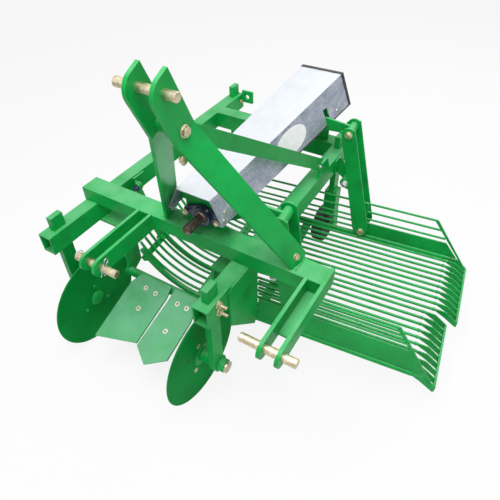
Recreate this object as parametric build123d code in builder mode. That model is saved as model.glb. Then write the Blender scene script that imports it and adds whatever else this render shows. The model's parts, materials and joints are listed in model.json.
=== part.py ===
"""Mounted potato digger: share, two shaking sieves that discharge to one side, coulter discs.

Millimetres. +X is the machine's left side, where the sieves discharge, +Y points to the rear
and +Z points up. The origin is the centre of the top link pin. Most places are measured from
the middle of the front beam's top front edge, through place() and the planes made from it.
"""
from build123d import *
from math import acos, asin, atan2, cos, degrees, hypot, radians, sin, sqrt
import os

os.makedirs("parts", exist_ok=True)

# ---------------------------------------------------------------- driving dimensions
mast_height = 644.0            # top link pin above the front beam's top face
mast_set_forward = 230.0       # top link pin ahead of the front beam's front face
ground_drop = 650.0            # floor below the front beam's top face
run_gap = 0.1                  # radial clearance of every turning fit

wall = 5.0                     # wall of the frame's box sections
beam_depth = 80.0              # front beam, along Y
beam_height = 60.0
beam_right_x = -668.0
rail_width = 60.0              # side rails, along X
rail_height = 80.0
left_rail_x = 65.0
right_rail_x = -635.0
left_rail_front_y = -236.0
left_rail_rear_y = 945.0
right_rail_front_y = -247.0
right_rail_rear_y = 1130.0
rear_beam_y = 875.0            # front face of the rear beam
rear_beam_depth = 70.0

link_half_spread = 341.5       # lower link brackets, each side of the middle
link_gap = 45.0                # room for the tractor's link ball
link_plate = 12.0
link_pin_y = -272.0
link_pin_z = -28.0
link_pin_r = 14.3
link_ear_r = 34.0
link_web_end_y = -190.0
link_web = 10.0
link_pin_inner = 70.0          # pin beyond the inner plate
link_pin_outer = 44.0          # pin beyond the outer plate
pin_groove = 2.5               # width of the groove in each link pin beside the plate
pin_groove_r = 13.0
pin_chamfer = 2.0

mast_lean = 24.0               # degrees, top of the mast forward
mast_plate = 12.0
mast_width = 80.0
mast_ear_x = 44.0              # outer face of each ear
mast_foot_x = 266.0            # outer face of each leg on the beam
mast_ear_top = 38.0            # above the pin, along the leaning bar
mast_corner_r = 46.0
mast_bend_drop = 123.0         # bend below the pin
mast_bolt_drop = 113.0         # brace bolt below the pin
mast_bolt_r = 10.0
foot_cut = 60.0                # rear corner of each foot, sloping cut along Y
foot_cut_rise = 80.0
top_pin_r = 12.7
top_pin_left_x = 80.0
top_pin_right_x = -97.0

brace_width = 50.0
brace_thick = 10.0
brace_top_x = 10.0
brace_foot = (78.0, 640.0, -24.0)
brace_lug_thick = 12.0
brace_bush_r = 17.0

shaft_x = -102.0               # drive shaft above the frame
shaft_z = 58.0
shaft_r = 17.5
shaft_tip_y = -55.0
shaft_end_y = 936.0
spline_count = 6
spline_length = 60.0
spline_groove = 4.0            # width and depth of the grooves between the splines
relief_width = 5.0             # turned relief behind the splines
relief_r = 14.0
throw = 12.5                   # eccentric throw
eccentric_web = 2.5            # metal round the shaft at the eccentric's thin side
eccentric_thick = 22.0
ring_clear = 5.3               # room left round the eccentric, where the linkage is opened
ring_wall = 8.0

bearing_bolt_spread = 66.0     # bolts each side of the shaft
bearing_body_r = 40.0
bearing_thick = 26.0
stand_thick = 8.0
front_stand_y = 52.0
rear_stand_y = 897.0

cover_sheet = 3.0
cover_front_y = -5.0
cover_rear_y = 1000.0
cover_front_low = (112.0, 82.0)     # half width and height of the lower edge, at the front
cover_front_top = (68.0, 175.0)     # half width and height of the top, at the front
cover_rear_low = (150.0, 85.0)
cover_rear_top = (96.0, 220.0)
cover_lip = 14.0
cap_rim = 15.0
cap_sheet = 2.0
slot_width = 36.0              # openings in the cover for the connecting rods
slot_top = 150.0
slot_depth = 120.0

shank_thick = 25.0             # coulter and support shanks, along X
shank_width = 55.0             # along Y
shank_top_z = -3.0
coulter_y = -177.0
disc_r = 212.0
disc_thick = 5.0
disc_y = -168.0
disc_inset = 75.0              # disc inboard of its shank
disc_hub_r = 34.0
hub_r = 26.0
hub_out = 35.0                 # hub sleeve beyond the shank's middle
axle_r = 15.0
axle_cap_r = 23.0
axle_cap_thick = 9.0

share_tube_y = 3.0
share_tube_z = -400.0
share_tube_r = 20.0
share_leg_thick = 12.0
share_leg_inset = 113.0        # outer face inboard of the coulter shanks, clear of the discs
share_leg_depth = 78.0         # along Y
share_leg_foot_z = -388.0
share_slope = 22.0             # degrees, cutting edge down
share_thick = 10.0
share_rear_y = -5.0            # rear top edge of the blades
share_rear_z = -366.0
seat_thick = 12.0
seat_length = 110.0
guard_thick = 8.0

skew = 6.2                     # degrees, sieves turned in plan
rod_r = 6.0
rod_pitch = 34.0
sieve_tube_r = 12.0
curve_r = 365.0                # upturned ends of the rods
curve_u = -155.0               # where they leave the level
curve_turn = 60.0              # degrees
tube_curve_u = -125.0          # where the outer tube leaves the level
front_bar_turn = 50.0          # degrees round the curve to the front cross bar
front_bar_width = 24.0
front_bar_thick = 16.0
cross_bar_width = 40.0
cross_bar_thick = 8.0
rail_bar_u = 80.0              # cross bar below the left rail
stiffener_depth = 22.0         # curved plate on edge below the hanger's rod
stiffener_start = 8.0          # degrees round the curve
grid_plate = 6.0
finger_reach = 86.0            # lip fingers beyond the rods
finger_thick = 5.0
end_bar_height = 28.0
end_bar_thick = 8.0
end_bar_drop = 50.0
fence_r = 5.0

arm_width = 60.0               # rocker arms at the top
arm_low_r = 36.0               # half width near the foot
arm_low_rise = 22.0            # height of that width above the sieve pin
arm_rise = 18.0                # square top of the arm above the upper pin
arm_thick = 7.0
arm_spread = 90.0              # middle of one arm to middle of the other
arm_foot_r = 24.0
side_gap = 2.0                 # beside every boss
clear = 5.0                    # least room round the moving parts
top_lever = (-15.0, 237.5)     # rocker pivot to connecting rod pin
sieve_lever = (106.0, -251.0)  # rocker pivot to sieve pin
sieve_pin_z = -411.0
pivot_x = 151.5                # middle of the rocker's pivot boss
pin_r = 12.0
boss_r = 24.0
sieve_boss_r = 21.0
con_rise = 42.0                # connecting rod's upper edge above its middle line
con_drop = 12.0                # lower edge below it
con_eye_r = 19.0
hanger_thick = 8.0
hanger_pin_r = 9.0
hanger_boss_r = 18.0
bracket_height = 66.0          # plates that carry the pivots on the rails
bracket_thick = 8.0

wheel_r = 97.0
wheel_width = 60.0
wheel_inset = 38.0             # wheel inboard of its leg
wheel_trail = 25.0
leg_sleeve = 60.0
sleeve_length = 140.0
sleeve_over_wheel = 16.0       # end of the sleeve above the wheel's top
leg_fork_rise = 31.0           # middle of the fork plate's upper end above the sleeve's end
fork_foot_r = 26.0
stub_r = 12.0
leg_plate = 12.0
lug_size = 65.0
lug_thick = 12.0
lug_hole_r = 12.5
# ---------------------------------------------------------------- places and planes
beam_front_y = mast_set_forward
beam_top_z = -mast_height
sleeve_low_z = 2 * wheel_r + sleeve_over_wheel - ground_drop
sleeve_top_z = sleeve_low_z + sleeve_length
beam_left_x = link_half_spread + link_gap / 2
link_ear_low_z = link_pin_z - link_ear_r
swing = 2 * degrees(asin(throw / hypot(*top_lever)))
eccentric_r = shaft_r + throw + eccentric_web
ring_r = eccentric_r + 2 * throw + ring_clear
sieve_z = sieve_pin_z - arm_foot_r - clear - sieve_tube_r
curve_z = sieve_z + curve_r
rail_top_z = -beam_height
rail_low_z = rail_top_z - rail_height
skew_c = cos(radians(skew))
skew_s = sin(radians(skew))


def place(x, y, z):
    """A point measured from the middle of the front beam's top front edge."""
    return Vector(x, beam_front_y + y, beam_top_z + z)


def side_plane(x):
    """Upright plane facing +X, drawn in y and z."""
    return Plane(origin=place(x, 0, 0), x_dir=(0, 1, 0), z_dir=(1, 0, 0))


def cross_plane(y):
    """Upright plane facing forward, drawn in x and z; a negative extrusion runs to the rear."""
    return Plane(origin=place(0, y, 0), x_dir=(1, 0, 0), z_dir=(0, -1, 0))


def floor_plane(z):
    """Level plane, drawn in x and y."""
    return Plane(origin=place(0, 0, z), x_dir=(1, 0, 0), z_dir=(0, 0, 1))


def rod_plane(v):
    """Upright plane along the sieve rods at a distance v across them, drawn in u and z."""
    return Plane(origin=place(-skew_s * v, skew_c * v, 0), x_dir=(skew_c, skew_s, 0), z_dir=(skew_s, -skew_c, 0))


def end_plane(u):
    """Upright plane across the sieve rods at a distance u along them, drawn in v and z."""
    return Plane(origin=place(skew_c * u, skew_s * u, 0), x_dir=(-skew_s, skew_c, 0), z_dir=(skew_c, skew_s, 0))


def swung(lever, angle):
    """A lever turned so that its lower end goes towards -u, in degrees."""
    c, s = cos(radians(angle)), sin(radians(angle))
    return (lever[0] * c + lever[1] * s, lever[1] * c - lever[0] * s)


def save(piece, name):
    """Name a finished piece and write it."""
    piece.part.label = name
    export_step(piece.part, f"parts/{name}.step")


def taper(a, radius_a, b, radius_b):
    """Straight-sided web between two circles, with the circles themselves."""
    length = hypot(b[0] - a[0], b[1] - a[1])
    turn = atan2(b[1] - a[1], b[0] - a[0])
    lean = acos((radius_a - radius_b) / length)
    ends = []
    for s in (1, -1):
        ends.append((turn + s * lean, s))
    corners = [
        (a[0] + radius_a * cos(ends[0][0]), a[1] + radius_a * sin(ends[0][0])),
        (b[0] + radius_b * cos(ends[0][0]), b[1] + radius_b * sin(ends[0][0])),
        (b[0] + radius_b * cos(ends[1][0]), b[1] + radius_b * sin(ends[1][0])),
        (a[0] + radius_a * cos(ends[1][0]), a[1] + radius_a * sin(ends[1][0])),
    ]
    Polygon(*corners, align=None)
    with Locations(a):
        Circle(radius_a)
    with Locations(b):
        Circle(radius_b)


def disc_across(plane, x, z, radius, length, mode=Mode.ADD):
    """Round bar square to a drawn plane, running away from its front."""
    start = Plane(origin=plane.from_local_coords((x, z, 0)), x_dir=plane.x_dir, z_dir=plane.z_dir)
    with Locations(start):
        Cylinder(radius, length, align=(Align.CENTER, Align.CENTER, Align.MAX), mode=mode)


def on_curve(turn, radius):
    """A point at an angle round the rods' curved ends, measured from straight down in radians."""
    return (curve_u - radius * sin(turn), curve_z - radius * cos(turn))


# ---------------------------------------------------------------- the two sieves' places
# name, v of the tube at its outer edge, v of the first and last rods, v of the rocker's near arm,
# turn of the rocker, side of the eccentric, u where the rods end, hanger's rod, x and z of its pivot
sieve_table = (
    ("front", 88.5, 122.0, 394.0, 75.0, swing, 1, 708.0, 4, -578.0, -100.0),
    ("rear", 757.0, 424.0, 730.0, 731.5, 0.0, -1, 745.0, 8, -574.0, -70.0),
)
sieves = []
for name, tube_v, first_v, last_v, arm_v, turn, side, rod_end_u, hanger_rod, hanger_x, hanger_z in sieve_table:
    middle_v = arm_v + arm_spread / 2
    top = swung(top_lever, turn)
    foot = swung(sieve_lever, turn)
    pivot = ((pivot_x + skew_s * middle_v) / skew_c, sieve_pin_z - foot[1])
    hanger_v = first_v + rod_pitch * hanger_rod
    hanger_u = (hanger_x + skew_s * hanger_v) / skew_c
    sieves.append({
        "name": name, "tube_v": tube_v, "arm_v": arm_v, "middle_v": middle_v,
        "rods": [first_v + rod_pitch * i for i in range(round((last_v - first_v) / rod_pitch) + 1)],
        "rod_end_u": rod_end_u,
        "pivot": pivot,
        "crank": (pivot[0] + top[0], pivot[1] + top[1]),
        "pin": (pivot[0] + foot[0], pivot[1] + foot[1]),
        "rail_u": (left_rail_x + rail_width / 2 + skew_s * middle_v) / skew_c,
        "ring": ((shaft_x + skew_s * middle_v) / skew_c + side * throw, shaft_z),
        "shaft_y": middle_v / skew_c + shaft_x * skew_s / skew_c,
        "side": side,
        "hanger_v": hanger_v,
        "hanger_top": (hanger_u, hanger_z),
        "hanger_foot": (hanger_u + foot[0], hanger_z + foot[1]),
    })

# ---------------------------------------------------------------- frame
with BuildPart() as front_beam:
    with BuildSketch(side_plane(beam_right_x)):
        with Locations((beam_depth / 2, -beam_height / 2)):
            Rectangle(beam_depth, beam_height)
            Rectangle(beam_depth - 2 * wall, beam_height - 2 * wall, mode=Mode.SUBTRACT)
    extrude(amount=beam_left_x - beam_right_x)
save(front_beam, "front_beam")

# name, middle x, front y, rear y, y of the support leg behind
rails = (
    ("left", left_rail_x, left_rail_front_y, left_rail_rear_y, 870.0),
    ("right", right_rail_x, right_rail_front_y, right_rail_rear_y, 1085.0),
)
for name, x, front_y, rear_y, leg_y in rails:
    with BuildPart() as rail:
        with BuildSketch(cross_plane(front_y)):
            with Locations((x, rail_top_z - rail_height / 2)):
                Rectangle(rail_width, rail_height)
                Rectangle(rail_width - 2 * wall, rail_height - 2 * wall, mode=Mode.SUBTRACT)
        extrude(amount=front_y - rear_y)
        with BuildSketch(floor_plane(rail_low_z - 1)):
            with Locations((x, coulter_y), (x, leg_y)):
                Rectangle(shank_thick, shank_width)
        extrude(amount=rail_height + 2, mode=Mode.SUBTRACT)
        if name == "left":
            # lug for the foot of the mast brace
            lug_x = brace_foot[0] + brace_thick / 2
            with BuildSketch(side_plane(lug_x)):
                with BuildLine():
                    Polyline(
                        (brace_foot[1] - 55, rail_top_z),
                        (brace_foot[1] - 25, brace_foot[2] + 25),
                        (brace_foot[1] + 25, brace_foot[2] + 25),
                        (brace_foot[1] + 55, rail_top_z),
                        close=True,
                    )
                make_face()
                with Locations(brace_foot[1:]):
                    Circle(mast_bolt_r, mode=Mode.SUBTRACT)
            extrude(amount=brace_lug_thick)
        else:
            # eye plate at the rear end and the hangers' upper brackets
            inner_x = x + rail_width / 2
            with BuildSketch(cross_plane(rear_y - lug_thick)):
                with Locations((inner_x + lug_size / 2, rail_top_z - 12)):
                    Rectangle(lug_size, lug_size)
                    Circle(lug_hole_r, mode=Mode.SUBTRACT)
            extrude(amount=-lug_thick)
            for sieve in sieves:
                u_pin, z_pin = sieve["hanger_top"]
                v_plate = sieve["hanger_v"] + 2 * hanger_thick + side_gap
                rail_u = (inner_x + skew_s * v_plate) / skew_c + bracket_thick / 2
                base_y = v_plate * skew_c + rail_u * skew_s
                with BuildSketch(side_plane(inner_x)):
                    with Locations((base_y + bracket_height / 2, rail_top_z - rail_height / 2)):
                        Rectangle(bracket_height, bracket_height)
                extrude(amount=bracket_thick)
                with BuildSketch(rod_plane(v_plate)):
                    with Locations((u_pin, z_pin)):
                        Circle(hanger_boss_r)
                    with Locations(((u_pin + rail_u) / 2, z_pin)):
                        Rectangle(u_pin - rail_u, 2 * hanger_boss_r)
                extrude(amount=-hanger_thick)
                with BuildSketch(rod_plane(v_plate)):
                    with Locations((u_pin, z_pin)):
                        Circle(hanger_pin_r)
                extrude(amount=side_gap + hanger_thick + 6)
    save(rail, f"{name}_rail")

with BuildPart() as rear_beam:
    with BuildSketch(side_plane(right_rail_x + rail_width / 2)):
        with Locations((rear_beam_y + rear_beam_depth / 2, rail_top_z - rail_height / 2)):
            Rectangle(rear_beam_depth, rail_height)
            Rectangle(rear_beam_depth - 2 * wall, rail_height - 2 * wall, mode=Mode.SUBTRACT)
    extrude(amount=left_rail_x - right_rail_x - rail_width)
save(rear_beam, "rear_beam")

# ---------------------------------------------------------------- lower link brackets and pins
# name, side: +1 left, -1 right
for name, side in (("left", 1), ("right", -1)):
    outer_x = side * (link_half_spread + link_gap / 2 + link_plate / 2)
    inner_x = side * (link_half_spread - link_gap / 2 - link_plate / 2)
    outer_rear_y = beam_depth if side > 0 else 0.0
    ear_top_z = link_pin_z + link_ear_r
    with BuildPart() as bracket:
        for plate_x, rear_y in ((inner_x, 0.0), (outer_x, outer_rear_y)):
            with BuildSketch(side_plane(plate_x - link_plate / 2)):
                with BuildLine():
                    Line((link_pin_y, ear_top_z), (rear_y, ear_top_z))
                    Line((rear_y, ear_top_z), (rear_y, link_ear_low_z))
                    Line((rear_y, link_ear_low_z), (link_pin_y, link_ear_low_z))
                    CenterArc((link_pin_y, link_pin_z), link_ear_r, 90, 180)
                make_face()
                with Locations((link_pin_y, link_pin_z)):
                    Circle(link_pin_r, mode=Mode.SUBTRACT)
            extrude(amount=link_plate)
        with BuildSketch(floor_plane(link_ear_low_z)):
            with Locations((side * link_half_spread, link_web_end_y / 2)):
                Rectangle(link_gap, -link_web_end_y)
        extrude(amount=link_web)
    save(bracket, f"{name}_link_bracket")

    pin_inner_x = inner_x - side * (link_plate / 2 + link_pin_inner)
    pin_outer_x = outer_x + side * (link_plate / 2 + link_pin_outer)
    with BuildPart() as link_pin:
        with BuildSketch(side_plane(min(pin_inner_x, pin_outer_x))):
            with Locations((link_pin_y, link_pin_z)):
                Circle(link_pin_r)
        extrude(amount=abs(pin_outer_x - pin_inner_x))
        chamfer(link_pin.edges().filter_by(GeomType.CIRCLE), pin_chamfer)
        groove_x = outer_x + side * (link_plate + pin_groove) / 2
        with BuildSketch(side_plane(groove_x - pin_groove / 2)):
            with Locations((link_pin_y, link_pin_z)):
                Circle(link_pin_r + 1)
                Circle(pin_groove_r, mode=Mode.SUBTRACT)
        extrude(amount=pin_groove, mode=Mode.SUBTRACT)
    save(link_pin, f"{name}_link_pin")

# ---------------------------------------------------------------- mast
mast_c = cos(radians(mast_lean))
mast_s = sin(radians(mast_lean))
mast_plane = Plane(origin=(0, 0, 0), x_dir=(1, 0, 0), z_dir=(0, -mast_c, -mast_s))
mast_bend = -mast_bend_drop / mast_c
mast_foot = -mast_height / mast_c
mast_bolt = Vector(0, mast_bolt_drop * mast_s / mast_c, -mast_bolt_drop)
for name, side in (("left", 1), ("right", -1)):
    inner_ear = mast_ear_x - mast_plate
    splay = (mast_foot_x - mast_ear_x) / (mast_bend - mast_foot)
    below = mast_foot - 60
    with BuildPart() as mast:
        with BuildSketch(mast_plane):
            with BuildLine():
                Polyline(
                    (side * mast_ear_x, mast_ear_top),
                    (side * mast_ear_x, mast_bend),
                    (side * (mast_ear_x + splay * (mast_bend - below)), below),
                    (side * (inner_ear + splay * (mast_bend - below)), below),
                    (side * inner_ear, mast_bend),
                    (side * inner_ear, mast_ear_top),
                    close=True,
                )
            make_face()
        extrude(amount=mast_width / 2, both=True)
        fillet(mast.edges().filter_by(Axis.X).sort_by(Axis.Z)[-2:].sort_by(Axis.Y)[0], mast_corner_r)
        with BuildSketch(floor_plane(0)):
            Rectangle(4 * mast_foot_x, 4 * mast_foot_x)
        extrude(amount=-2 * mast_width, mode=Mode.SUBTRACT)
        # sloping cut behind the beam's rear edge
        with BuildSketch(side_plane(-2 * mast_foot_x)):
            with BuildLine():
                Polyline((beam_depth, 0), (beam_depth + foot_cut, 0), (beam_depth + foot_cut, foot_cut_rise), close=True)
            make_face()
        extrude(amount=4 * mast_foot_x, mode=Mode.SUBTRACT)
        with Locations(Plane(origin=(side * mast_ear_x, 0, 0), z_dir=(1, 0, 0))):
            Cylinder(top_pin_r, 4 * mast_plate, mode=Mode.SUBTRACT)
        with Locations(Plane(origin=mast_bolt + Vector(side * mast_ear_x, 0, 0), z_dir=(1, 0, 0))):
            Cylinder(mast_bolt_r, 4 * mast_plate, mode=Mode.SUBTRACT)
    save(mast, f"{name}_mast_plate")

with BuildPart() as top_pin:
    with BuildSketch(Plane(origin=(top_pin_right_x, 0, 0), x_dir=(0, 1, 0), z_dir=(1, 0, 0))):
        Circle(top_pin_r)
    extrude(amount=top_pin_left_x - top_pin_right_x)
    chamfer(top_pin.edges().filter_by(GeomType.CIRCLE), pin_chamfer)
save(top_pin, "top_link_pin")


# ---------------------------------------------------------------- mast brace
foot_x, foot_y, foot_z = brace_foot
brace_top_y = -mast_set_forward + mast_bolt.Y
brace_top_z = mast_height + mast_bolt.Z
half = brace_thick / 2
with BuildPart() as brace:
    with BuildSketch(floor_plane(-200)):
        with BuildLine():
            Polyline(
                (brace_top_x - half, brace_top_y - 60),
                (brace_top_x - half, brace_top_y + 60),
                (foot_x - half, foot_y - 70),
                (foot_x - half, foot_y + 60),
                (foot_x + half, foot_y + 60),
                (foot_x + half, foot_y - 70),
                (brace_top_x + half, brace_top_y + 60),
                (brace_top_x + half, brace_top_y - 60),
                close=True,
            )
        make_face()
    extrude(amount=2 * mast_height)
    with BuildSketch(side_plane(brace_top_x - mast_width)):
        taper((brace_top_y, brace_top_z), brace_width / 2, (foot_y, foot_z), brace_width / 2)
    extrude(amount=3 * mast_width, mode=Mode.INTERSECT)
    with BuildSketch(side_plane(mast_plate - mast_ear_x)):
        with Locations((brace_top_y, brace_top_z)):
            Circle(brace_bush_r)
    extrude(amount=2 * (mast_ear_x - mast_plate))
    with BuildSketch(side_plane(brace_top_x - mast_width)):
        with Locations((brace_top_y, brace_top_z), (foot_y, foot_z)):
            Circle(mast_bolt_r)
    extrude(amount=3 * mast_width, mode=Mode.SUBTRACT)
save(brace, "mast_brace")

# ---------------------------------------------------------------- cover
def cover_section(low, top, inset, drop):
    """Corners of the cover's section, inside its outer face by inset and carried down by drop."""
    slope = (low[0] - top[0]) / (top[1] - low[1])
    inward = inset * hypot(1, slope)
    low_half = low[0] - inward + slope * drop
    top_half = top[0] - inward + slope * inset
    return (
        (shaft_x - low_half, low[1] - drop), (shaft_x + low_half, low[1] - drop),
        (shaft_x + top_half, top[1] - inset), (shaft_x - top_half, top[1] - inset),
    )


cover_ends = (
    (cover_front_y, cover_front_low, cover_front_top),
    (cover_rear_y, cover_rear_low, cover_rear_top),
)
with BuildPart() as cover_outside:
    for y, low, top in cover_ends:
        with BuildSketch(cross_plane(y)):
            Polygon(*cover_section(low, top, 0, 0), align=None)
    loft()
with BuildPart() as cover_inside:
    for y, low, top in cover_ends:
        with BuildSketch(cross_plane(y)):
            Polygon(*cover_section(low, top, cover_sheet, 40), align=None)
    loft()
with BuildPart() as cover:
    add(cover_outside.part)
    add(cover_inside.part, mode=Mode.SUBTRACT)
    for side in (1, -1):
        for y, low, top in cover_ends:
            lip_x = shaft_x + side * (low[0] - cover_lip / 2 - cover_sheet)
            with BuildSketch(cross_plane(y)):
                with Locations((lip_x, low[1] + cover_sheet / 2)):
                    Rectangle(cover_lip, cover_sheet)
        loft()
    for sieve in sieves:
        with BuildSketch(rod_plane(sieve["middle_v"])):
            with Locations((sieve["ring"][0] + cover_rear_low[0], slot_top - slot_depth / 2)):
                Rectangle(cover_rear_low[0] + cover_sheet, slot_depth)
        extrude(amount=slot_width / 2, both=True, mode=Mode.SUBTRACT)
save(cover, "shaft_cover")

cap_low = (cover_rear_low[0] + cap_sheet, cover_rear_low[1])
cap_top = (cover_rear_top[0] + cap_sheet, cover_rear_top[1] + cap_sheet)
with BuildPart() as end_cap:
    with BuildSketch(cross_plane(cover_rear_y - cap_rim)):
        with Locations((shaft_x, 0)):
            Polygon(
                (-cap_low[0], cap_low[1]), (cap_low[0], cap_low[1]),
                (cap_top[0], cap_top[1]), (-cap_top[0], cap_top[1]), align=None,
            )
    extrude(amount=-cap_rim - cap_sheet)
    add(cover_outside.part, mode=Mode.SUBTRACT)
save(end_cap, "cover_end_cap")

# ---------------------------------------------------------------- bearing stands and bearings
# name, y of the stand's front face, base z, half width of the base, cover's lower half width there
stands = (
    ("front", front_stand_y, 0.0, 78.0),
    ("rear", rear_stand_y, rail_top_z, 100.0),
)
for name, y, base_z, half in stands:
    share = (y - cover_front_y) / (cover_rear_y - cover_front_y)
    ear = cover_front_low[0] + share * (cover_rear_low[0] - cover_front_low[0])
    ear_z = cover_front_low[1] + cover_sheet + cover_lip
    with BuildPart() as beyond:
        with BuildSketch(cross_plane(y - stand_thick / 2)):
            with Locations((shaft_x, ear_z + cover_rear_top[1] / 2)):
                Rectangle(4 * cover_rear_low[0], cover_rear_top[1] + 4 * cover_lip)
        extrude(amount=-2 * stand_thick)
        add(cover_inside.part, mode=Mode.SUBTRACT)
    with BuildPart() as stand:
        with BuildSketch(cross_plane(y)):
            with Locations((shaft_x, 0)):
                Polygon(
                    (-half, base_z), (half, base_z), (half, ear_z - 8),
                    (ear, ear_z - 8), (ear, ear_z + 16), (half, ear_z + 16),
                    (50, shaft_z + 68), (-50, shaft_z + 68), (-half, ear_z + 16),
                    (-ear, ear_z + 16), (-ear, ear_z - 8), (-half, ear_z - 8),
                    align=None,
                )
            with Locations((shaft_x, shaft_z)):
                Circle(shaft_r + 6, mode=Mode.SUBTRACT)
        extrude(amount=-stand_thick)
        add(beyond.part, mode=Mode.SUBTRACT)
    save(stand, f"{name}_bearing_stand")

# name, y of the mounting face, direction the housing faces
for name, y, facing in (("front", front_stand_y, 1), ("rear", rear_stand_y + stand_thick, -1)):
    with BuildPart() as bearing:
        with BuildSketch(cross_plane(y)):
            for s in (1, -1):
                taper((shaft_x, shaft_z), bearing_body_r, (shaft_x + s * bearing_bolt_spread, shaft_z), 15)
        extrude(amount=facing * bearing_thick / 2)
        with BuildSketch(cross_plane(y)):
            with Locations((shaft_x, shaft_z)):
                Circle(bearing_body_r - 4)
        extrude(amount=facing * bearing_thick)
        with BuildSketch(cross_plane(y)):
            with Locations((shaft_x, shaft_z)):
                Circle(shaft_r + run_gap)
            with Locations(*[(shaft_x + s * bearing_bolt_spread, shaft_z) for s in (1, -1)]):
                Circle(6)
        extrude(amount=facing * bearing_thick, mode=Mode.SUBTRACT)
    save(bearing, f"{name}_bearing")

with BuildPart() as shaft:
    with BuildSketch(cross_plane(shaft_tip_y)):
        with Locations((shaft_x, shaft_z)):
            Circle(shaft_r)
    extrude(amount=shaft_tip_y - shaft_end_y)
    for sieve in sieves:
        with BuildSketch(cross_plane(sieve["shaft_y"] - eccentric_thick / 2)):
            with Locations((shaft_x + sieve["side"] * throw, shaft_z)):
                Circle(eccentric_r)
        extrude(amount=-eccentric_thick)
    with BuildSketch(cross_plane(shaft_tip_y)):
        with Locations((shaft_x, shaft_z)):
            with PolarLocations(shaft_r, spline_count):
                Rectangle(spline_groove, spline_groove)
    extrude(amount=-spline_length, mode=Mode.SUBTRACT)
    with BuildSketch(cross_plane(shaft_tip_y + spline_length)):
        with Locations((shaft_x, shaft_z)):
            Circle(shaft_r + 1)
            Circle(relief_r, mode=Mode.SUBTRACT)
    extrude(amount=-relief_width, mode=Mode.SUBTRACT)
save(shaft, "drive_shaft")

# ---------------------------------------------------------------- coulters and support wheels
for name, x, front_y, rear_y, leg_y in rails:
    out = 1 if x > -300 else -1
    hub_end_x = x + out * hub_out
    disc_x = x - out * disc_inset
    disc_z = disc_r - ground_drop + 1
    near_x = disc_x + out * (disc_thick / 2 + clear)
    with BuildPart() as coulter_shank:
        with BuildSketch(side_plane(x - shank_thick / 2)):
            with Locations((coulter_y, (shank_top_z + disc_z) / 2)):
                Rectangle(shank_width, shank_top_z - disc_z)
            with Locations((disc_y, disc_z)):
                Circle(shank_width / 2 + 6)
        extrude(amount=shank_thick)
        with BuildSketch(side_plane(min(near_x, hub_end_x))):
            with Locations((disc_y, disc_z)):
                Circle(hub_r)
        extrude(amount=abs(hub_end_x - near_x))
        with BuildSketch(side_plane(min(near_x, hub_end_x))):
            with Locations((disc_y, disc_z)):
                Circle(axle_r + run_gap)
        extrude(amount=abs(hub_end_x - near_x), mode=Mode.SUBTRACT)
    save(coulter_shank, f"{name}_coulter_shank")

    with BuildPart() as coulter_disc:
        with BuildSketch(side_plane(disc_x - disc_thick / 2)):
            with Locations((disc_y, disc_z)):
                Circle(disc_r)
                Circle(axle_r, mode=Mode.SUBTRACT)
        extrude(amount=disc_thick)
        chamfer(coulter_disc.edges().filter_by(GeomType.CIRCLE).group_by(SortBy.RADIUS)[-1], 2.0)
    save(coulter_disc, f"{name}_coulter_disc")

    with BuildPart() as coulter_axle:
        inner_end_x = disc_x - out * (disc_thick / 2 + 8)
        outer_end_x = hub_end_x + out * side_gap
        with BuildSketch(side_plane(min(inner_end_x, outer_end_x))):
            with Locations((disc_y, disc_z)):
                Circle(axle_r)
        extrude(amount=abs(outer_end_x - inner_end_x))
        cap_x = outer_end_x if out > 0 else outer_end_x - axle_cap_thick
        with BuildSketch(side_plane(cap_x)):
            with Locations((disc_y, disc_z)):
                Circle(axle_cap_r)
        extrude(amount=axle_cap_thick)
    save(coulter_axle, f"{name}_coulter_axle")

    wheel_x = x - out * wheel_inset
    wheel_y = leg_y + wheel_trail
    wheel_z = wheel_r - ground_drop
    plate_x = x + out * (leg_sleeve / 2 - leg_plate / 2)
    wheel_far_x = wheel_x - out * (wheel_width / 2 + 10)
    wheel_near_x = wheel_x + out * (wheel_width / 2 + side_gap)
    with BuildPart() as support_leg:
        with BuildSketch(floor_plane(shank_top_z)):
            with Locations((x, leg_y)):
                Rectangle(shank_thick, shank_width)
        extrude(amount=sleeve_low_z - shank_top_z)
        with BuildSketch(floor_plane(sleeve_top_z)):
            with Locations((x, leg_y)):
                Rectangle(leg_sleeve, leg_sleeve)
        extrude(amount=sleeve_low_z - sleeve_top_z)
        with BuildSketch(side_plane(plate_x - leg_plate / 2)):
            taper((leg_y, sleeve_low_z + leg_fork_rise), leg_sleeve / 2, (wheel_y, wheel_z), fork_foot_r)
        extrude(amount=leg_plate)
        with BuildSketch(side_plane(min(plate_x, wheel_near_x))):
            with Locations((wheel_y, wheel_z)):
                Circle(stub_r + 8)
        extrude(amount=abs(plate_x - wheel_near_x))
        with BuildSketch(side_plane(min(plate_x, wheel_far_x))):
            with Locations((wheel_y, wheel_z)):
                Circle(stub_r)
        extrude(amount=abs(plate_x - wheel_far_x))
    save(support_leg, f"{name}_support_leg")

    with BuildPart() as wheel:
        with BuildSketch(side_plane(wheel_x - wheel_width / 2)):
            with Locations((wheel_y, wheel_z)):
                Circle(wheel_r)
                Circle(stub_r + run_gap, mode=Mode.SUBTRACT)
        extrude(amount=wheel_width)
        chamfer(wheel.edges().filter_by(GeomType.CIRCLE).group_by(SortBy.RADIUS)[-1], 6.0)
    save(wheel, f"{name}_support_wheel")

# ---------------------------------------------------------------- share
leg_left_x = left_rail_x - share_leg_inset
leg_right_x = right_rail_x + share_leg_inset
share_plane = Plane(
    origin=place(0, share_rear_y, share_rear_z), x_dir=(1, 0, 0),
    z_dir=(0, -sin(radians(share_slope)), cos(radians(share_slope))),
)
share_run = 1 / cos(radians(share_slope))
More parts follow.
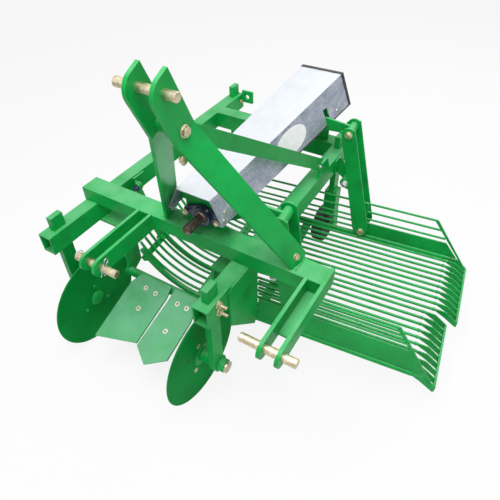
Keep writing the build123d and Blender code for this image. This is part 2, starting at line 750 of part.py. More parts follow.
# name, outline in x and y, x of the seat's ends
blades = (
    ("left", ((-252, -5), (-133, -5), (-115, -90), (-120, -250), (-199, -301), (-268, -255), (-252, -54)), (-245, -140)),
    ("right", ((-428, -5), (-271, -5), (-265, -54), (-276, -249), (-460, -298), (-453, -54)), (-420, -285)),
)
with BuildPart() as carrier:
    with BuildSketch(side_plane(leg_right_x)):
        with Locations((share_tube_y, share_tube_z)):
            Circle(share_tube_r)
    extrude(amount=leg_left_x - leg_right_x)
    # name of the side, inner face of its rail, outer face of its leg
    for side, rail_x, outer_x in (
        (1, left_rail_x - rail_width / 2, leg_left_x), (-1, right_rail_x + rail_width / 2, leg_right_x),
    ):
        with BuildSketch(side_plane(outer_x - (share_leg_thick if side > 0 else 0))):
            Polygon(
                (0, rail_low_z), (share_leg_depth, rail_low_z), (share_leg_depth, share_leg_foot_z),
                (share_tube_y + share_tube_r, share_tube_z - share_tube_r),
                (share_tube_y - share_tube_r, share_tube_z - share_tube_r),
                (share_tube_y - share_tube_r, share_leg_foot_z), (0, share_leg_foot_z + share_tube_r),
                align=None,
            )
        extrude(amount=share_leg_thick)
        # flange that fixes the leg below its rail
        with BuildSketch(floor_plane(rail_low_z)):
            with Locations(((outer_x + rail_x + side * rail_width) / 2, share_leg_depth / 2)):
                Rectangle(abs(outer_x - rail_x - side * rail_width), share_leg_depth)
        extrude(amount=-share_leg_thick)
    with BuildSketch(share_plane.offset(-share_thick)):
        for blade_name, outline, (x_from, x_to) in blades:
            with Locations(((x_from + x_to) / 2, -seat_length / 2)):
                Rectangle(x_to - x_from, seat_length)
    extrude(amount=-seat_thick)
save(carrier, "share_carrier")

for name, outline, seat in blades:
    with BuildPart() as blade:
        with BuildSketch(share_plane):
            Polygon(*[(x, (y - share_rear_y) * share_run) for x, y in outline], align=None)
        extrude(amount=-share_thick)
    save(blade, f"{name}_share_blade")

with BuildPart() as guard:
    with BuildSketch(side_plane(left_rail_x + rail_width / 2)):
        with BuildLine():
            Polyline(
                (62, rail_top_z - 2), (62, -382), (37, -407), (-119, -246), (-119, rail_top_z - 20),
                (-100, rail_top_z - 2), close=True,
            )
        make_face()
    extrude(amount=guard_thick)
save(guard, "guard_plate")

# ---------------------------------------------------------------- rockers, rods and sieves
# wall: u where its fence starts and the plate ends, u where the plate starts, plate's height
walls = {"front": (96.0, 683.0, 96.0, 120.0), "rear": (-290.0, 718.0, 318.0, 80.0)}
fences = {"front": (222.0, 187.0, 152.0), "rear": (190.0, 144.0, 102.0)}
low_fences = ((72.0, -290.0), (38.0, -232.0))       # height, u where the rod meets the curved tube
post_width = 24.0
plate_slant = 58.0                                  # slope of the plate's end, along u
for sieve in sieves:
    name = sieve["name"]
    near_v = sieve["arm_v"]
    far_v = near_v + arm_spread
    half_gap = arm_spread / 2 - arm_thick / 2
    pivot, crank, pin, ring = sieve["pivot"], sieve["crank"], sieve["pin"], sieve["ring"]
    boss_plane = rod_plane(sieve["middle_v"] - half_gap + side_gap)
    boss_length = 2 * (half_gap - side_gap)

    with BuildPart() as bracket:
        disc_across(boss_plane, pivot[0], pivot[1], boss_r - 2, boss_length)
        with BuildSketch(rod_plane(sieve["middle_v"])):
            with BuildLine():
                Polyline(
                    (pivot[0], pivot[1] + boss_r - 2), (pivot[0], pivot[1] - boss_r + 2),
                    (sieve["rail_u"], rail_low_z + 5), (sieve["rail_u"], rail_top_z - 5),
                    (sieve["rail_u"] + 2 * bracket_thick, rail_top_z - 5), close=True,
                )
            make_face()
        extrude(amount=7, both=True)
        with BuildSketch(side_plane(left_rail_x)):
            with Locations((sieve["middle_v"], rail_low_z)):
                Rectangle(4 * rail_width, 4 * rail_width)
        extrude(amount=rail_width / 2, mode=Mode.SUBTRACT)
        base_y = (sieve["middle_v"] + skew_s * (left_rail_x + rail_width / 2)) / skew_c
        with BuildSketch(side_plane(left_rail_x + rail_width / 2)):
            with Locations((base_y, rail_top_z - rail_height / 2)):
                Rectangle(boss_length - 2 * bracket_thick, bracket_height)
        extrude(amount=bracket_thick)
        disc_across(boss_plane, pivot[0], pivot[1], pin_r + run_gap, boss_length, Mode.SUBTRACT)
    save(bracket, f"{name}_pivot_bracket")

    arm_turn = atan2(crank[1] - pin[1], crank[0] - pin[0])
    shoulder = (pin[0] + arm_low_rise * cos(arm_turn), pin[1] + arm_low_rise * sin(arm_turn))
    arm_middle = ((crank[0] + pin[0]) / 2, (crank[1] + pin[1]) / 2)
    with BuildPart() as rocker:
        for v in (near_v, far_v):
            with BuildSketch(rod_plane(v)):
                taper(crank, arm_width / 2, shoulder, arm_low_r)
                taper(shoulder, arm_low_r, pin, arm_foot_r)
                taper(arm_middle, arm_width / 2, pivot, boss_r)
                with Locations(crank):
                    Rectangle(arm_width, 2 * arm_rise, rotation=degrees(arm_turn) - 90)
            extrude(amount=arm_thick / 2, both=True)
        for place_u, place_z in (crank, pivot, pin):
            disc_across(rod_plane(near_v), place_u, place_z, pin_r, arm_spread)
    save(rocker, f"{name}_rocker")

    with BuildPart() as con_rod:
        length = crank[0] - ring[0]
        with BuildSketch(rod_plane(sieve["middle_v"])):
            with Locations(ring):
                Circle(ring_r + ring_wall)
            with Locations(crank):
                Circle(con_eye_r)
            Polygon(
                (ring[0], ring[1] + ring_r + ring_wall - 1),
                (ring[0] + 0.6 * length, ring[1] + 0.6 * (crank[1] - ring[1]) + con_rise),
                (crank[0] + 3, crank[1] + con_eye_r - 1),
                (crank[0], crank[1] - con_eye_r + 1),
                (ring[0] + 0.6 * length, ring[1] + 0.6 * (crank[1] - ring[1]) - con_drop),
                (ring[0] + 40, ring[1] - ring_r - ring_wall + 13),
                align=None,
            )
        extrude(amount=arm_thick / 2 + 1.5, both=True)
        disc_across(boss_plane, crank[0], crank[1], con_eye_r, boss_length)
        disc_across(rod_plane(near_v), ring[0], ring[1], ring_r, arm_spread, Mode.SUBTRACT)
        disc_across(rod_plane(near_v), crank[0], crank[1], pin_r + run_gap, arm_spread, Mode.SUBTRACT)
    save(con_rod, f"{name}_connecting_rod")

    with BuildPart() as hanger:
        v = sieve["hanger_v"] + hanger_thick / 2 + side_gap
        with BuildSketch(rod_plane(v)):
            taper(sieve["hanger_top"], hanger_boss_r, sieve["hanger_foot"], hanger_boss_r)
            with Locations(sieve["hanger_top"], sieve["hanger_foot"]):
                Circle(hanger_pin_r + run_gap, mode=Mode.SUBTRACT)
        extrude(amount=-hanger_thick)
    save(hanger, f"{name}_hanger")

    rods = sieve["rods"]
    tube_v = sieve["tube_v"]
    end_u = sieve["rod_end_u"]
    low_v = min(rods + [tube_v])
    high_v = max(rods + [tube_v])
    bar_u = end_u + finger_reach
    with BuildPart() as grid:
        for v in rods + [tube_v]:
            radius, start_u = (sieve_tube_r, tube_curve_u) if v == tube_v else (rod_r, curve_u)
            with BuildLine(rod_plane(v)) as line:
                CenterArc((start_u, curve_z), curve_r, 270 - curve_turn, curve_turn)
                Line((start_u, sieve_z), (end_u, sieve_z))
            with BuildSketch(Plane(origin=line.line @ 0, z_dir=line.line % 0)):
                Circle(radius)
            sweep(path=line.line)
        # level cross bars: u, height over the rods' middle, width, thickness
        for u, rise, width, height in (
            (curve_u - cross_bar_width / 2, rod_r + cross_bar_thick / 2 - 1, cross_bar_width, cross_bar_thick),
            (rail_bar_u, 1 - rod_r - cross_bar_thick / 2, cross_bar_width, cross_bar_thick),
            (bar_u, -end_bar_drop, end_bar_thick, end_bar_height),
        ):
            with BuildSketch(end_plane(u - width / 2)):
                with Locations(((low_v + high_v) / 2, sieve_z + rise)):
                    Rectangle(high_v - low_v, height)
            extrude(amount=width)
        # bar across the curved ends, the gusset of the outer tube and the hanger's stiffener
        bar_turn = radians(front_bar_turn)
        bar_middle = on_curve(bar_turn, curve_r + rod_r + front_bar_thick / 2 - 1)
        with BuildSketch(rod_plane(low_v)):
            with Locations(bar_middle):
                Rectangle(front_bar_width, front_bar_thick, rotation=-front_bar_turn)
        extrude(amount=low_v - high_v)
        tube_point = on_curve(bar_turn, curve_r)
        with BuildSketch(rod_plane(tube_v)):
            taper((tube_point[0] + tube_curve_u - curve_u, tube_point[1]), rod_r, bar_middle, rod_r)
        extrude(amount=grid_plate / 2, both=True)
        lug_v = sieve["hanger_v"]
        foot_u, foot_z = sieve["hanger_foot"]
        lug_turn = atan2(curve_u - foot_u, curve_z - foot_z)
        with BuildSketch(rod_plane(lug_v)):
            with BuildLine():
                stiffener_sweep = curve_turn - stiffener_start
                upper = CenterArc((curve_u, curve_z), curve_r, 270 - curve_turn, stiffener_sweep)
                lower = CenterArc((curve_u, curve_z), curve_r + stiffener_depth, 270 - curve_turn, stiffener_sweep)
                Line(upper @ 0, lower @ 0)
                Line(upper @ 1, lower @ 1)
            make_face()
            taper(on_curve(lug_turn, curve_r), hanger_pin_r, (foot_u, foot_z), hanger_boss_r)
        extrude(amount=hanger_thick / 2, both=True)
        disc_across(rod_plane(lug_v), foot_u, foot_z, hanger_pin_r, 2 * hanger_thick + side_gap)
        for v in rods + [tube_v]:
            thick = 2.4 * finger_thick if v == tube_v else finger_thick
            with BuildSketch(rod_plane(v)):
                Polygon(
                    (end_u - 12, sieve_z), (end_u + 6, sieve_z + 5), (end_u + 36, sieve_z + 3),
                    (bar_u, sieve_z - end_bar_drop + 14), (bar_u, sieve_z - end_bar_drop - 14),
                    (end_u + 32, sieve_z - 26), (end_u - 4, sieve_z - 6), align=None,
                )
            extrude(amount=thick / 2, both=True)
        # flat on the tube where the wall stands
        with BuildSketch(rod_plane(tube_v)):
            with Locations(((tube_curve_u + end_u) / 2, sieve_z + sieve_tube_r)):
                Rectangle(end_u - tube_curve_u, 2.4)
        extrude(amount=grid_plate / 2 + 1, both=True, mode=Mode.SUBTRACT)
    save(grid, f"{name}_sieve_grid")

    # wall over the outer tube: plate, fence rods, slanted end bar and the boss the sieve hangs by
    front = name == "front"
    wall_from_u, wall_to_u, plate_from_u, plate_top = walls[name]
    foot_z = sieve_z + sieve_tube_r - 1.2
    fence_zs = fences[name]
    # the slanted bar ends on the outer finger's upper edge
    finger_fall = (end_bar_drop - end_bar_height / 2 + 3) / (finger_reach - 36)
    slant_top = (wall_to_u - 60, sieve_z + fence_zs[0])
    slant_from_u = bar_u - 30
    slant_to_u = bar_u - 12
    slant_low = [(u, sieve_z + 3.3 - finger_fall * (u - end_u - 36)) for u in (slant_to_u, slant_from_u)]
    tube_inner_r = curve_r - sieve_tube_r - 0.3
    with BuildPart() as wall_part:
        with BuildSketch(rod_plane(tube_v)):
            Polygon(
                (plate_from_u, foot_z), (plate_from_u, sieve_z + plate_top),
                (wall_to_u, sieve_z + plate_top), (wall_to_u + plate_slant, foot_z), align=None,
            )
        extrude(amount=grid_plate / 2, both=True)
        with BuildSketch(rod_plane(tube_v)):
            Polygon(
                (slant_top[0] - 16, slant_top[1] + 3), (slant_top[0], slant_top[1] + 3),
                *slant_low, align=None,
            )
            with Locations((pin[0], (sieve_z + fence_zs[0] + foot_z) / 2)):
                Rectangle(post_width, sieve_z + fence_zs[0] - foot_z)
            if not front:
                # the end post stands on the curved tube
                Polygon(
                    *[(u, curve_z - sqrt(tube_inner_r ** 2 - (u - tube_curve_u) ** 2)) for u in
                      (wall_from_u, wall_from_u + post_width)],
                    (wall_from_u + post_width, sieve_z + fence_zs[0]), (wall_from_u, sieve_z + fence_zs[0]),
                    align=None,
                )
        extrude(amount=grid_plate / 2, both=True)
        for rise in fence_zs:
            run = slant_top[0] - 4 + (fence_zs[0] - rise) * 0.62
            with Locations(end_plane(wall_from_u)):
                with Locations((tube_v, sieve_z + rise)):
                    Cylinder(fence_r, run - wall_from_u, align=(Align.CENTER, Align.CENTER, Align.MIN))
        if not front:
            for rise, from_u in low_fences:
                with Locations(end_plane(from_u)):
                    with Locations((tube_v, sieve_z + rise)):
                        Cylinder(fence_r, plate_from_u + 4 - from_u, align=(Align.CENTER, Align.CENTER, Align.MIN))
        disc_across(boss_plane, pin[0], pin[1], sieve_boss_r, boss_length)
        disc_across(boss_plane, pin[0], pin[1], pin_r + run_gap, boss_length, Mode.SUBTRACT)
    save(wall_part, f"{name}_sieve_wall")

print("all built")
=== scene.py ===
# %% [markdown]
# # A potato digger with side-discharge sieves
# The imported CAD model is the frame, and this script dresses it: paint, zinc and rubber on
# the CAD nodes, and the bolts, welds, clips and black edge strips, a painted shadow, that the
# solids leave out. Everything is in metres in the row frame: +X is the discharge side, +Y
# the rear and +Z up.
#
# The model is loaded first, and its box is kept, because the dressed machine may not grow
# past it. One seeded generator makes every small irregularity, so each run is the same.

# %% Load the frame
import json
import math
import random
import bpy
import bmesh
from mathutils import Matrix, Vector


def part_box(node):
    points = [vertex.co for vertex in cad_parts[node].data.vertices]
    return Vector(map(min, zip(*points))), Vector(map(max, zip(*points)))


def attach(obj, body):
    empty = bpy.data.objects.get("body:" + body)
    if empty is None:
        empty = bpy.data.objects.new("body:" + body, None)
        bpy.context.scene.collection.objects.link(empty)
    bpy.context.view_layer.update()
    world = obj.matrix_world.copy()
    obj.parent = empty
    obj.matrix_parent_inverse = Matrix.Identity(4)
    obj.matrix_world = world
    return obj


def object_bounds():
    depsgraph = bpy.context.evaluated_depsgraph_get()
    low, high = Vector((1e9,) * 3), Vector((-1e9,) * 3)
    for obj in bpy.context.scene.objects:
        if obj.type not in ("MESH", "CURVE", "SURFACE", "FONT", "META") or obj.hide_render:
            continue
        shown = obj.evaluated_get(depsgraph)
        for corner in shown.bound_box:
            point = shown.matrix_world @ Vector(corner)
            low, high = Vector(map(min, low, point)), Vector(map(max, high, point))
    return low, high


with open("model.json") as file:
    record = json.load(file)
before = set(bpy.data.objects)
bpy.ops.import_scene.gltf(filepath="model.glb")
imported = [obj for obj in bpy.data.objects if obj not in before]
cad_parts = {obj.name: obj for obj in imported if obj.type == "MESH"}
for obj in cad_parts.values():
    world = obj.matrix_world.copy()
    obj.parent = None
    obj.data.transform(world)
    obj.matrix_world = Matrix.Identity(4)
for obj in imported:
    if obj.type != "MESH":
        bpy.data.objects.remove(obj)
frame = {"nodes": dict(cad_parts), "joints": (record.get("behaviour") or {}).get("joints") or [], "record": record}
nodes = frame["nodes"]
cad_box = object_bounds()
MM = 0.001
X, Y, Z = Vector((1, 0, 0)), Vector((0, 1, 0)), Vector((0, 0, 1))
rng = random.Random(7)
print("nodes", len(nodes), "box", [round(c, 3) for corner in cad_box for c in corner])

# %% [markdown]
# ## Shader maths that reads as Python
# A finish is a tree of nodes, and wiring each by hand hides the sum it works out. `Value`
# wraps one socket, so that sums, differences and products of sockets are ordinary
# expressions. `above` turns a noise into a mask with a soft edge.

# %% Value
class Value:
    """A socket with arithmetic."""

    def __init__(self, maker, socket):
        self.maker = maker
        self.socket = socket

    def _math(self, operation, first, second):
        return self.maker.node("ShaderNodeMath", {"operation": operation}, {0: first, 1: second})

    def __add__(self, other):
        return self._math("ADD", self, other)

    def __radd__(self, other):
        return self._math("ADD", other, self)

    def __sub__(self, other):
        return self._math("SUBTRACT", self, other)

    def __rsub__(self, other):
        return self._math("SUBTRACT", other, self)

    def __mul__(self, other):
        return self._math("MULTIPLY", self, other)

    def __rmul__(self, other):
        return self._math("MULTIPLY", other, self)

    def larger(self, other):
        return self._math("MAXIMUM", self, other)

    def above(self, level, width):
        """0 under the level, 1 over it, blended over a width."""
        return self.maker.node(
            "ShaderNodeMapRange", {"clamp": True, "interpolation_type": "SMOOTHSTEP"},
            {0: self, 1: level - width, 2: level + width, 3: 0.0, 4: 1.0})


print("values ready")

# %% [markdown]
# ## One material at a time
# `NodeTree.node` makes any node from its type, its settings and its inputs. `Paint` adds
# what a finish on a machine needs: noise in the object's own space, a measure of how far a
# face looks up, where dust settles and where a sheen of the sky is painted, and a measure of
# how near a point is to a sharp edge, where paint rubs off. The edge measure compares the
# plain normal with a bevelled one, which needs no extra geometry.

# %% NodeTree and Paint
class NodeTree:
    """A node tree, and one method that makes any node in it."""

    def __init__(self, tree):
        self.tree = tree

    def node(self, kind, settings=None, inputs=None, output=0):
        made = self.tree.nodes.new(kind)
        for key, value in (settings or {}).items():
            setattr(made, key, value)
        for key, value in (inputs or {}).items():
            if isinstance(value, Value):
                self.tree.links.new(value.socket, made.inputs[key])
            else:
                made.inputs[key].default_value = value
        return Value(self, made.outputs[output])

    def show(self, value, output):
        """Connect a shader to the tree's output node."""
        self.tree.links.new(value.socket, self.tree.nodes[output].inputs["Surface"])


class Paint(NodeTree):
    """One node material."""

    def __init__(self, name, **constants):
        self.material = bpy.data.materials.new(name)
        self.material.use_nodes = True
        super().__init__(self.material.node_tree)
        self.shader = self.tree.nodes["Principled BSDF"]
        for key, value in constants.items():
            self.shader.inputs[key.replace("_", " ")].default_value = value

    def place(self):
        return self.node("ShaderNodeTexCoord", output="Object")

    def stretch(self, scale):
        """Object coordinates scaled by axis."""
        return self.node("ShaderNodeMapping", {}, {"Vector": self.place(), "Scale": scale})

    def noise(self, scale, detail=3.0, vector=None):
        return self.node(
            "ShaderNodeTexNoise", {}, {"Vector": vector or self.place(), "Scale": scale, "Detail": detail})

    def upward(self):
        """How far the surface faces up, from -1 to 1."""
        normal = self.node("ShaderNodeNewGeometry", output="Normal")
        return self.node("ShaderNodeSeparateXYZ", {}, {0: normal}, output=2)

    def rounded(self, radius):
        """The normal as if every edge had this radius."""
        return self.node("ShaderNodeBevel", {"samples": 4}, {"Radius": radius})

    def edge(self, radius):
        """Above 0 along edges and 0 on flats."""
        smooth = self.rounded(radius)
        sharp = self.node("ShaderNodeNewGeometry", output="Normal")
        return 1.0 - self.node(
            "ShaderNodeVectorMath", {"operation": "DOT_PRODUCT"}, {0: smooth, 1: sharp}, output="Value")

    def mix(self, factor, first, second):
        return self.node("ShaderNodeMix", {"data_type": "RGBA"}, {0: factor, 6: first, 7: second}, output=2)

    def drive(self, name, value):
        self.tree.links.new(value.socket, self.shader.inputs[name])

    def bump(self, height, strength, distance, radius):
        """Fine relief, over edges softened to a radius."""
        self.drive("Normal", self.node("ShaderNodeBump", {}, {
            "Height": height, "Strength": strength, "Distance": distance, "Normal": self.rounded(radius)}))


def rgb(red, green, blue):
    return (red, green, blue, 1.0)


WHITE = rgb(1.0, 1.0, 1.0)
print("paint tools ready")

# %% [markdown]
# ## Green paint
# The frame, sieves and rockers are sprayed with one glossy green. A single flat colour
# would look like plastic, so the paint is built up in layers, most of them marks of age: two
# close greens in clouds, fine specks, soil, edges rubbed to a paler green, a painted sheen of
# the sky where the face looks up, and dust last of all. The share blades are more glossy with
# a bluer painted sheen, and the discs are duller, with painted shade in their darker green,
# so gloss, sheen colour and painted shade are the function's own values.

# %% Green paint
# Pale greens painted on faces that look up: a painted sheen, standing for the sky's reflection.
SKY_SHEEN_PAINTED = rgb(0.190, 0.600, 0.290)
BLADE_SHEEN_PAINTED = rgb(0.240, 0.620, 0.420)


def green_paint(name, sheen, roughness, painted_sheen_colour=SKY_SHEEN_PAINTED, painted_shade_scale=1.0):
    paint = Paint(name, Coat_Weight=sheen * 0.4, Coat_Roughness=0.22, Specular_IOR_Level=sheen, IOR=1.5)
    # Below 1 the scale darkens both greens, a painted shade for the discs.
    deep_green = rgb(0.002, 0.335 * painted_shade_scale, 0.054 * painted_shade_scale)
    light_green = rgb(0.006, 0.450 * painted_shade_scale, 0.084 * painted_shade_scale)
    cloud = paint.noise(5.0, 4.0)
    mottled = paint.mix(cloud.above(0.5, 0.22), deep_green, light_green)
    speck = paint.noise(90.0, 3.0)
    speckled = paint.mix(speck.above(0.66, 0.06) * 0.22, mottled, rgb(0.020, 0.400, 0.100))
    soil = paint.noise(11.0, 6.0).above(0.60, 0.10) * 0.30
    soiled = paint.mix(soil, speckled, rgb(0.010, 0.150, 0.040))
    rubbed = paint.edge(0.0022).above(0.10, 0.09) * paint.noise(34.0, 4.0).above(0.47, 0.12) * 0.65
    edged = paint.mix(rubbed, soiled, rgb(0.100, 0.560, 0.240))
    facing_up = paint.upward()
    # Painted sheen: faces that look up are painted paler, for the sky's reflection in the gloss.
    painted_sheen_mask = facing_up.above(0.82, 0.14) * (0.22 + paint.noise(8.0, 4.0).above(0.50, 0.22) * 0.34)
    with_painted_sheen = paint.mix(painted_sheen_mask, edged, painted_sheen_colour)
    dust = facing_up.above(0.55, 0.45) * paint.noise(16.0, 5.0).above(0.52, 0.16) * 0.10
    paint.drive("Base Color", paint.mix(dust, with_painted_sheen, rgb(0.24, 0.46, 0.28)))
    paint.drive("Roughness", roughness + speck * 0.10 + dust * 0.9 + rubbed * 0.1)
    orange_peel = paint.noise(420.0, 2.0)
    paint.bump(orange_peel + cloud * 0.6, 0.10, 0.0006, 0.0014)
    return paint.material


finishes = {
    "green_paint": green_paint("green_paint", 0.17, 0.30),
    "share_paint": green_paint("share_paint", 0.85, 0.40, BLADE_SHEEN_PAINTED),
    # The discs' darker green is painted shade.
    "disc_painted_shade": green_paint("disc_painted_shade", 0.03, 0.42, painted_shade_scale=0.72),
}
print("greens", sorted(finishes))

# %% [markdown]
# ## Galvanised sheet
# The drive shaft's cover is folded from galvanised sheet. Zinc freezes on steel in flat
# crystals, the spangle, each a slightly different grey. A Voronoi texture gives one shade
# to each cell, and two noises add the clouds and flow marks of the bath. The top is painted
# paler, a painted reflection of the sky where the sheet looks up, and white oxide lies over
# it in specks.

# %% Galvanised sheet
def galvanised():
    paint = Paint("galvanised", Metallic=0.72, IOR=1.45)
    spangle = paint.node(
        "ShaderNodeTexVoronoi", {"feature": "F1"}, {"Vector": paint.place(), "Scale": 190.0}, output="Color")
    shade = paint.node("ShaderNodeSeparateColor", {}, {0: spangle}, output=0)
    cloud = paint.noise(9.0, 5.0)
    flow = paint.noise(40.0, 6.0, paint.stretch((1.0, 0.3, 1.0)))
    tone = shade * 0.16 + cloud * 0.42 + flow * 0.42
    zinc = paint.mix(tone.above(0.50, 0.26), rgb(0.20, 0.25, 0.33), rgb(0.58, 0.62, 0.70))
    # Painted reflection: faces that look up are painted paler, for the sky seen in the zinc.
    sky_reflection_painted = paint.mix(paint.upward().above(0.62, 0.25) * 0.75, zinc, rgb(0.84, 0.87, 0.90))
    oxide = paint.noise(120.0, 6.0).above(0.62, 0.06) * 0.35
    paint.drive("Base Color", paint.mix(oxide, sky_reflection_painted, rgb(0.70, 0.73, 0.77)))
    paint.drive("Roughness", 0.36 + shade * 0.12 + oxide * 0.3)
    paint.bump(shade + cloud * 1.5, 0.10, 0.0004, 0.001)
    return paint.material


finishes["galvanised"] = galvanised()
print("galvanised sheet ready")

# %% [markdown]
# ## Plated and bare steel
# Pins and most bolts are zinc plated and passivated yellow, a few are bright zinc, and the
# plough bolts are pale. They differ only in two colours, gloss and how metallic they look,
# so one function makes all three. The end of the drive shaft is bare: turning leaves fine
# rings along its length, which a wave texture draws, and rust spreads over them.

# %% Plated and bare steel
def plated(name, light, dark, roughness, metal=0.95):
    paint = Paint(name, Metallic=metal)
    tone = paint.noise(70.0, 4.0)
    worn = paint.edge(0.0012).above(0.12, 0.1) * 0.5
    zinc = paint.mix(tone.above(0.52, 0.14), dark, light)
    rosy = paint.noise(24.0, 2.0).above(0.58, 0.10) * 0.35
    tinted = paint.mix(rosy, zinc, rgb(0.66, 0.55, 0.50))
    paint.drive("Base Color", paint.mix(worn, tinted, rgb(0.80, 0.77, 0.68)))
    paint.drive("Roughness", roughness + tone * 0.14)
    paint.bump(tone + paint.noise(600.0, 2.0), 0.08, 0.0003, 0.0006)
    return paint.material


def turned_steel():
    paint = Paint("shaft_steel", Metallic=0.9)
    rings = paint.node(
        "ShaderNodeTexWave", {"wave_type": "BANDS", "bands_direction": "Y"},
        {"Vector": paint.place(), "Scale": 420.0, "Distortion": 0.6})
    rust = paint.noise(60.0, 5.0).above(0.50, 0.10) * 0.75
    steel = paint.mix(rings * 0.5, rgb(0.22, 0.19, 0.17), rgb(0.34, 0.30, 0.27))
    paint.drive("Base Color", paint.mix(rust, steel, rgb(0.085, 0.034, 0.022)))
    paint.drive("Roughness", 0.26 + rust * 0.42)
    paint.bump(rings + rust, 0.15, 0.0003, 0.0008)
    return paint.material


finishes["yellow_zinc"] = plated("yellow_zinc", rgb(0.80, 0.71, 0.50), rgb(0.58, 0.49, 0.31), 0.26)
finishes["pale_zinc"] = plated("pale_zinc", rgb(0.86, 0.84, 0.74), rgb(0.66, 0.62, 0.50), 0.34, 0.45)
finishes["white_zinc"] = plated("white_zinc", rgb(0.78, 0.80, 0.84), rgb(0.48, 0.50, 0.54), 0.16)
finishes["shaft_steel"] = turned_steel()
print("metals ready")

# %% [markdown]
# ## Castings, rubber and the label
# Cast housings, rubber tyres, a printed label and the black that paints shade on the cover's
# edges and in a hole have one thing in common: a plain skin with a fine grain and dust on
# top. One function with a light and a dark shade, a roughness and a grain size is enough,
# and a thin coat is added where the skin shines.

# %% Castings, rubber and the label
def grained_skin(name, light, dark, roughness, grain, **constants):
    paint = Paint(name, **constants)
    skin = paint.noise(grain, 4.0)
    cloud = paint.noise(14.0, 4.0)
    shade = paint.mix(cloud.above(0.5, 0.2), dark, light)
    dust = paint.upward().above(0.5, 0.5) * paint.noise(30.0, 5.0).above(0.5, 0.15) * 0.25
    paint.drive("Base Color", paint.mix(dust, shade, rgb(0.24, 0.22, 0.20)))
    paint.drive("Roughness", roughness + skin * 0.18 + dust * 0.4)
    paint.bump(skin, 0.25, 0.0005, 0.001)
    return paint.material


finishes["bearing_navy"] = grained_skin(
    "bearing_navy", rgb(0.030, 0.050, 0.130), rgb(0.012, 0.020, 0.060), 0.30, 260.0, Coat_Weight=0.3)
finishes["wheel_black"] = grained_skin(
    "wheel_black", rgb(0.024, 0.024, 0.025), rgb(0.010, 0.010, 0.011), 0.55, 500.0)
# Black used as painted shade: the strips under the cover's edges and a hole in a disc.
finishes["trim_black"] = grained_skin(
    "trim_black", rgb(0.016, 0.016, 0.018), rgb(0.008, 0.008, 0.009), 0.42, 700.0)
finishes["label_white"] = grained_skin(
    "label_white", rgb(0.97, 0.98, 0.98), rgb(0.92, 0.94, 0.94), 0.28, 300.0, Coat_Weight=0.4)
print("skins ready")

# %% [markdown]
# ## Finishes on the solids
# Each solid names its own material slot in the imported record, so a loop is enough to dress
# the whole machine. Four solids wear a finish of their own: the share blades are glossier
# than the frame, and the coulter discs are duller and darker, their darker green a painted
# shade.

# %% Finishes on the solids
own_finish = {
    "left_share_blade": "share_paint", "right_share_blade": "share_paint",
    "left_coulter_disc": "disc_painted_shade", "right_coulter_disc": "disc_painted_shade",
}
for part in frame["record"]["subparts"]:
    mesh = nodes[part["node"]].data
    mesh.materials.clear()
    mesh.materials.append(finishes[own_finish.get(part["node"], part["material_slot"])])
print("finishes", sorted(finishes))

# %% [markdown]
# ## Places
# Small pieces have to sit exactly on the solids. Most places are given to `at` in
# millimetres: x from the machine's own zero, midway between the lower links, and y and z
# from the front beam's top front edge. Where a face is not square to the machine, `touch`
# sends a straight probe at the solid and gives the point it meets and the way the surface
# faces there.

# %% Places taken from the frame
beam_low, beam_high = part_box("front_beam")


def at(x, y, z):
    return Vector((x * MM, beam_low.y + y * MM, beam_high.z + z * MM))


def middle(node):
    low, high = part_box(node)
    return (low + high) / 2


def touch(node, start, direction):
    """Where a straight probe meets a solid, and which way its surface faces there."""
    solid = nodes[node]
    inverse = solid.matrix_world.inverted()
    met, point, normal, _ = solid.ray_cast(inverse @ start, (inverse.to_3x3() @ direction).normalized())
    if not met:
        raise ValueError(f"nothing of {node} in the way")
    return solid.matrix_world @ point, (solid.matrix_world.to_3x3() @ normal).normalized()


hub_at = {joint["name"]: Vector(joint["pos_m"]) for joint in frame["joints"]}
print("front beam from", beam_low, "to", beam_high)

# %% [markdown]
# ## Collecting small pieces
# The machine has a great many bolts, washers and beads. As objects they would crowd the
# file, so `Kit` gathers all that share a moving body and a finish into one mesh. Each mesh
# becomes one piece that rides on its body.


class Kit:
    """Meshes that share a body and a finish."""

    def __init__(self):
        self.parts = {}

    def mesh(self, body, finish):
        key = (body, finish)
        if key not in self.parts:
            self.parts[key] = bmesh.new()
        return self.parts[key]

    def finish(self, prefix):
        for (body, finish), mesh in self.parts.items():
            data = bpy.data.meshes.new(f"{prefix}_{body}_{finish}")
            mesh.to_mesh(data)
            mesh.free()
            piece = bpy.data.objects.new(data.name, data)
            bpy.context.scene.collection.objects.link(piece)
            data.materials.append(finishes[finish])
            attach(piece, body)
        print(prefix, "pieces", len(self.parts))


kit = Kit()
print("kit open")

# %% [markdown]
# ## Turned shapes
# Bolts, nuts, washers and collars are round or six-sided, and a lathe would make each from
# one profile. Blender could screw a curve round an axis with a modifier, but a function
# that lays rings of points does the same in one step and can add to a shared mesh. With 24
# sides a shape is round, and with 6 it is a hexagon.

# %% Turned shapes
SMOOTH_SIDES = 8


def facing(direction):
    """Rotation that turns +Z to a direction."""
    return direction.normalized().to_track_quat("Z", "Y").to_matrix().to_4x4()


def walls(mesh, rings, smooth):
    """Walls between neighbouring rings, and a lid on each end."""
    sides = len(rings[0])
    for low, high in zip(rings, rings[1:]):
        for i in range(sides):
            face = mesh.faces.new((low[i], low[(i + 1) % sides], high[(i + 1) % sides], high[i]))
            face.smooth = smooth
    mesh.faces.new(rings[-1])
    mesh.faces.new(tuple(reversed(rings[0])))


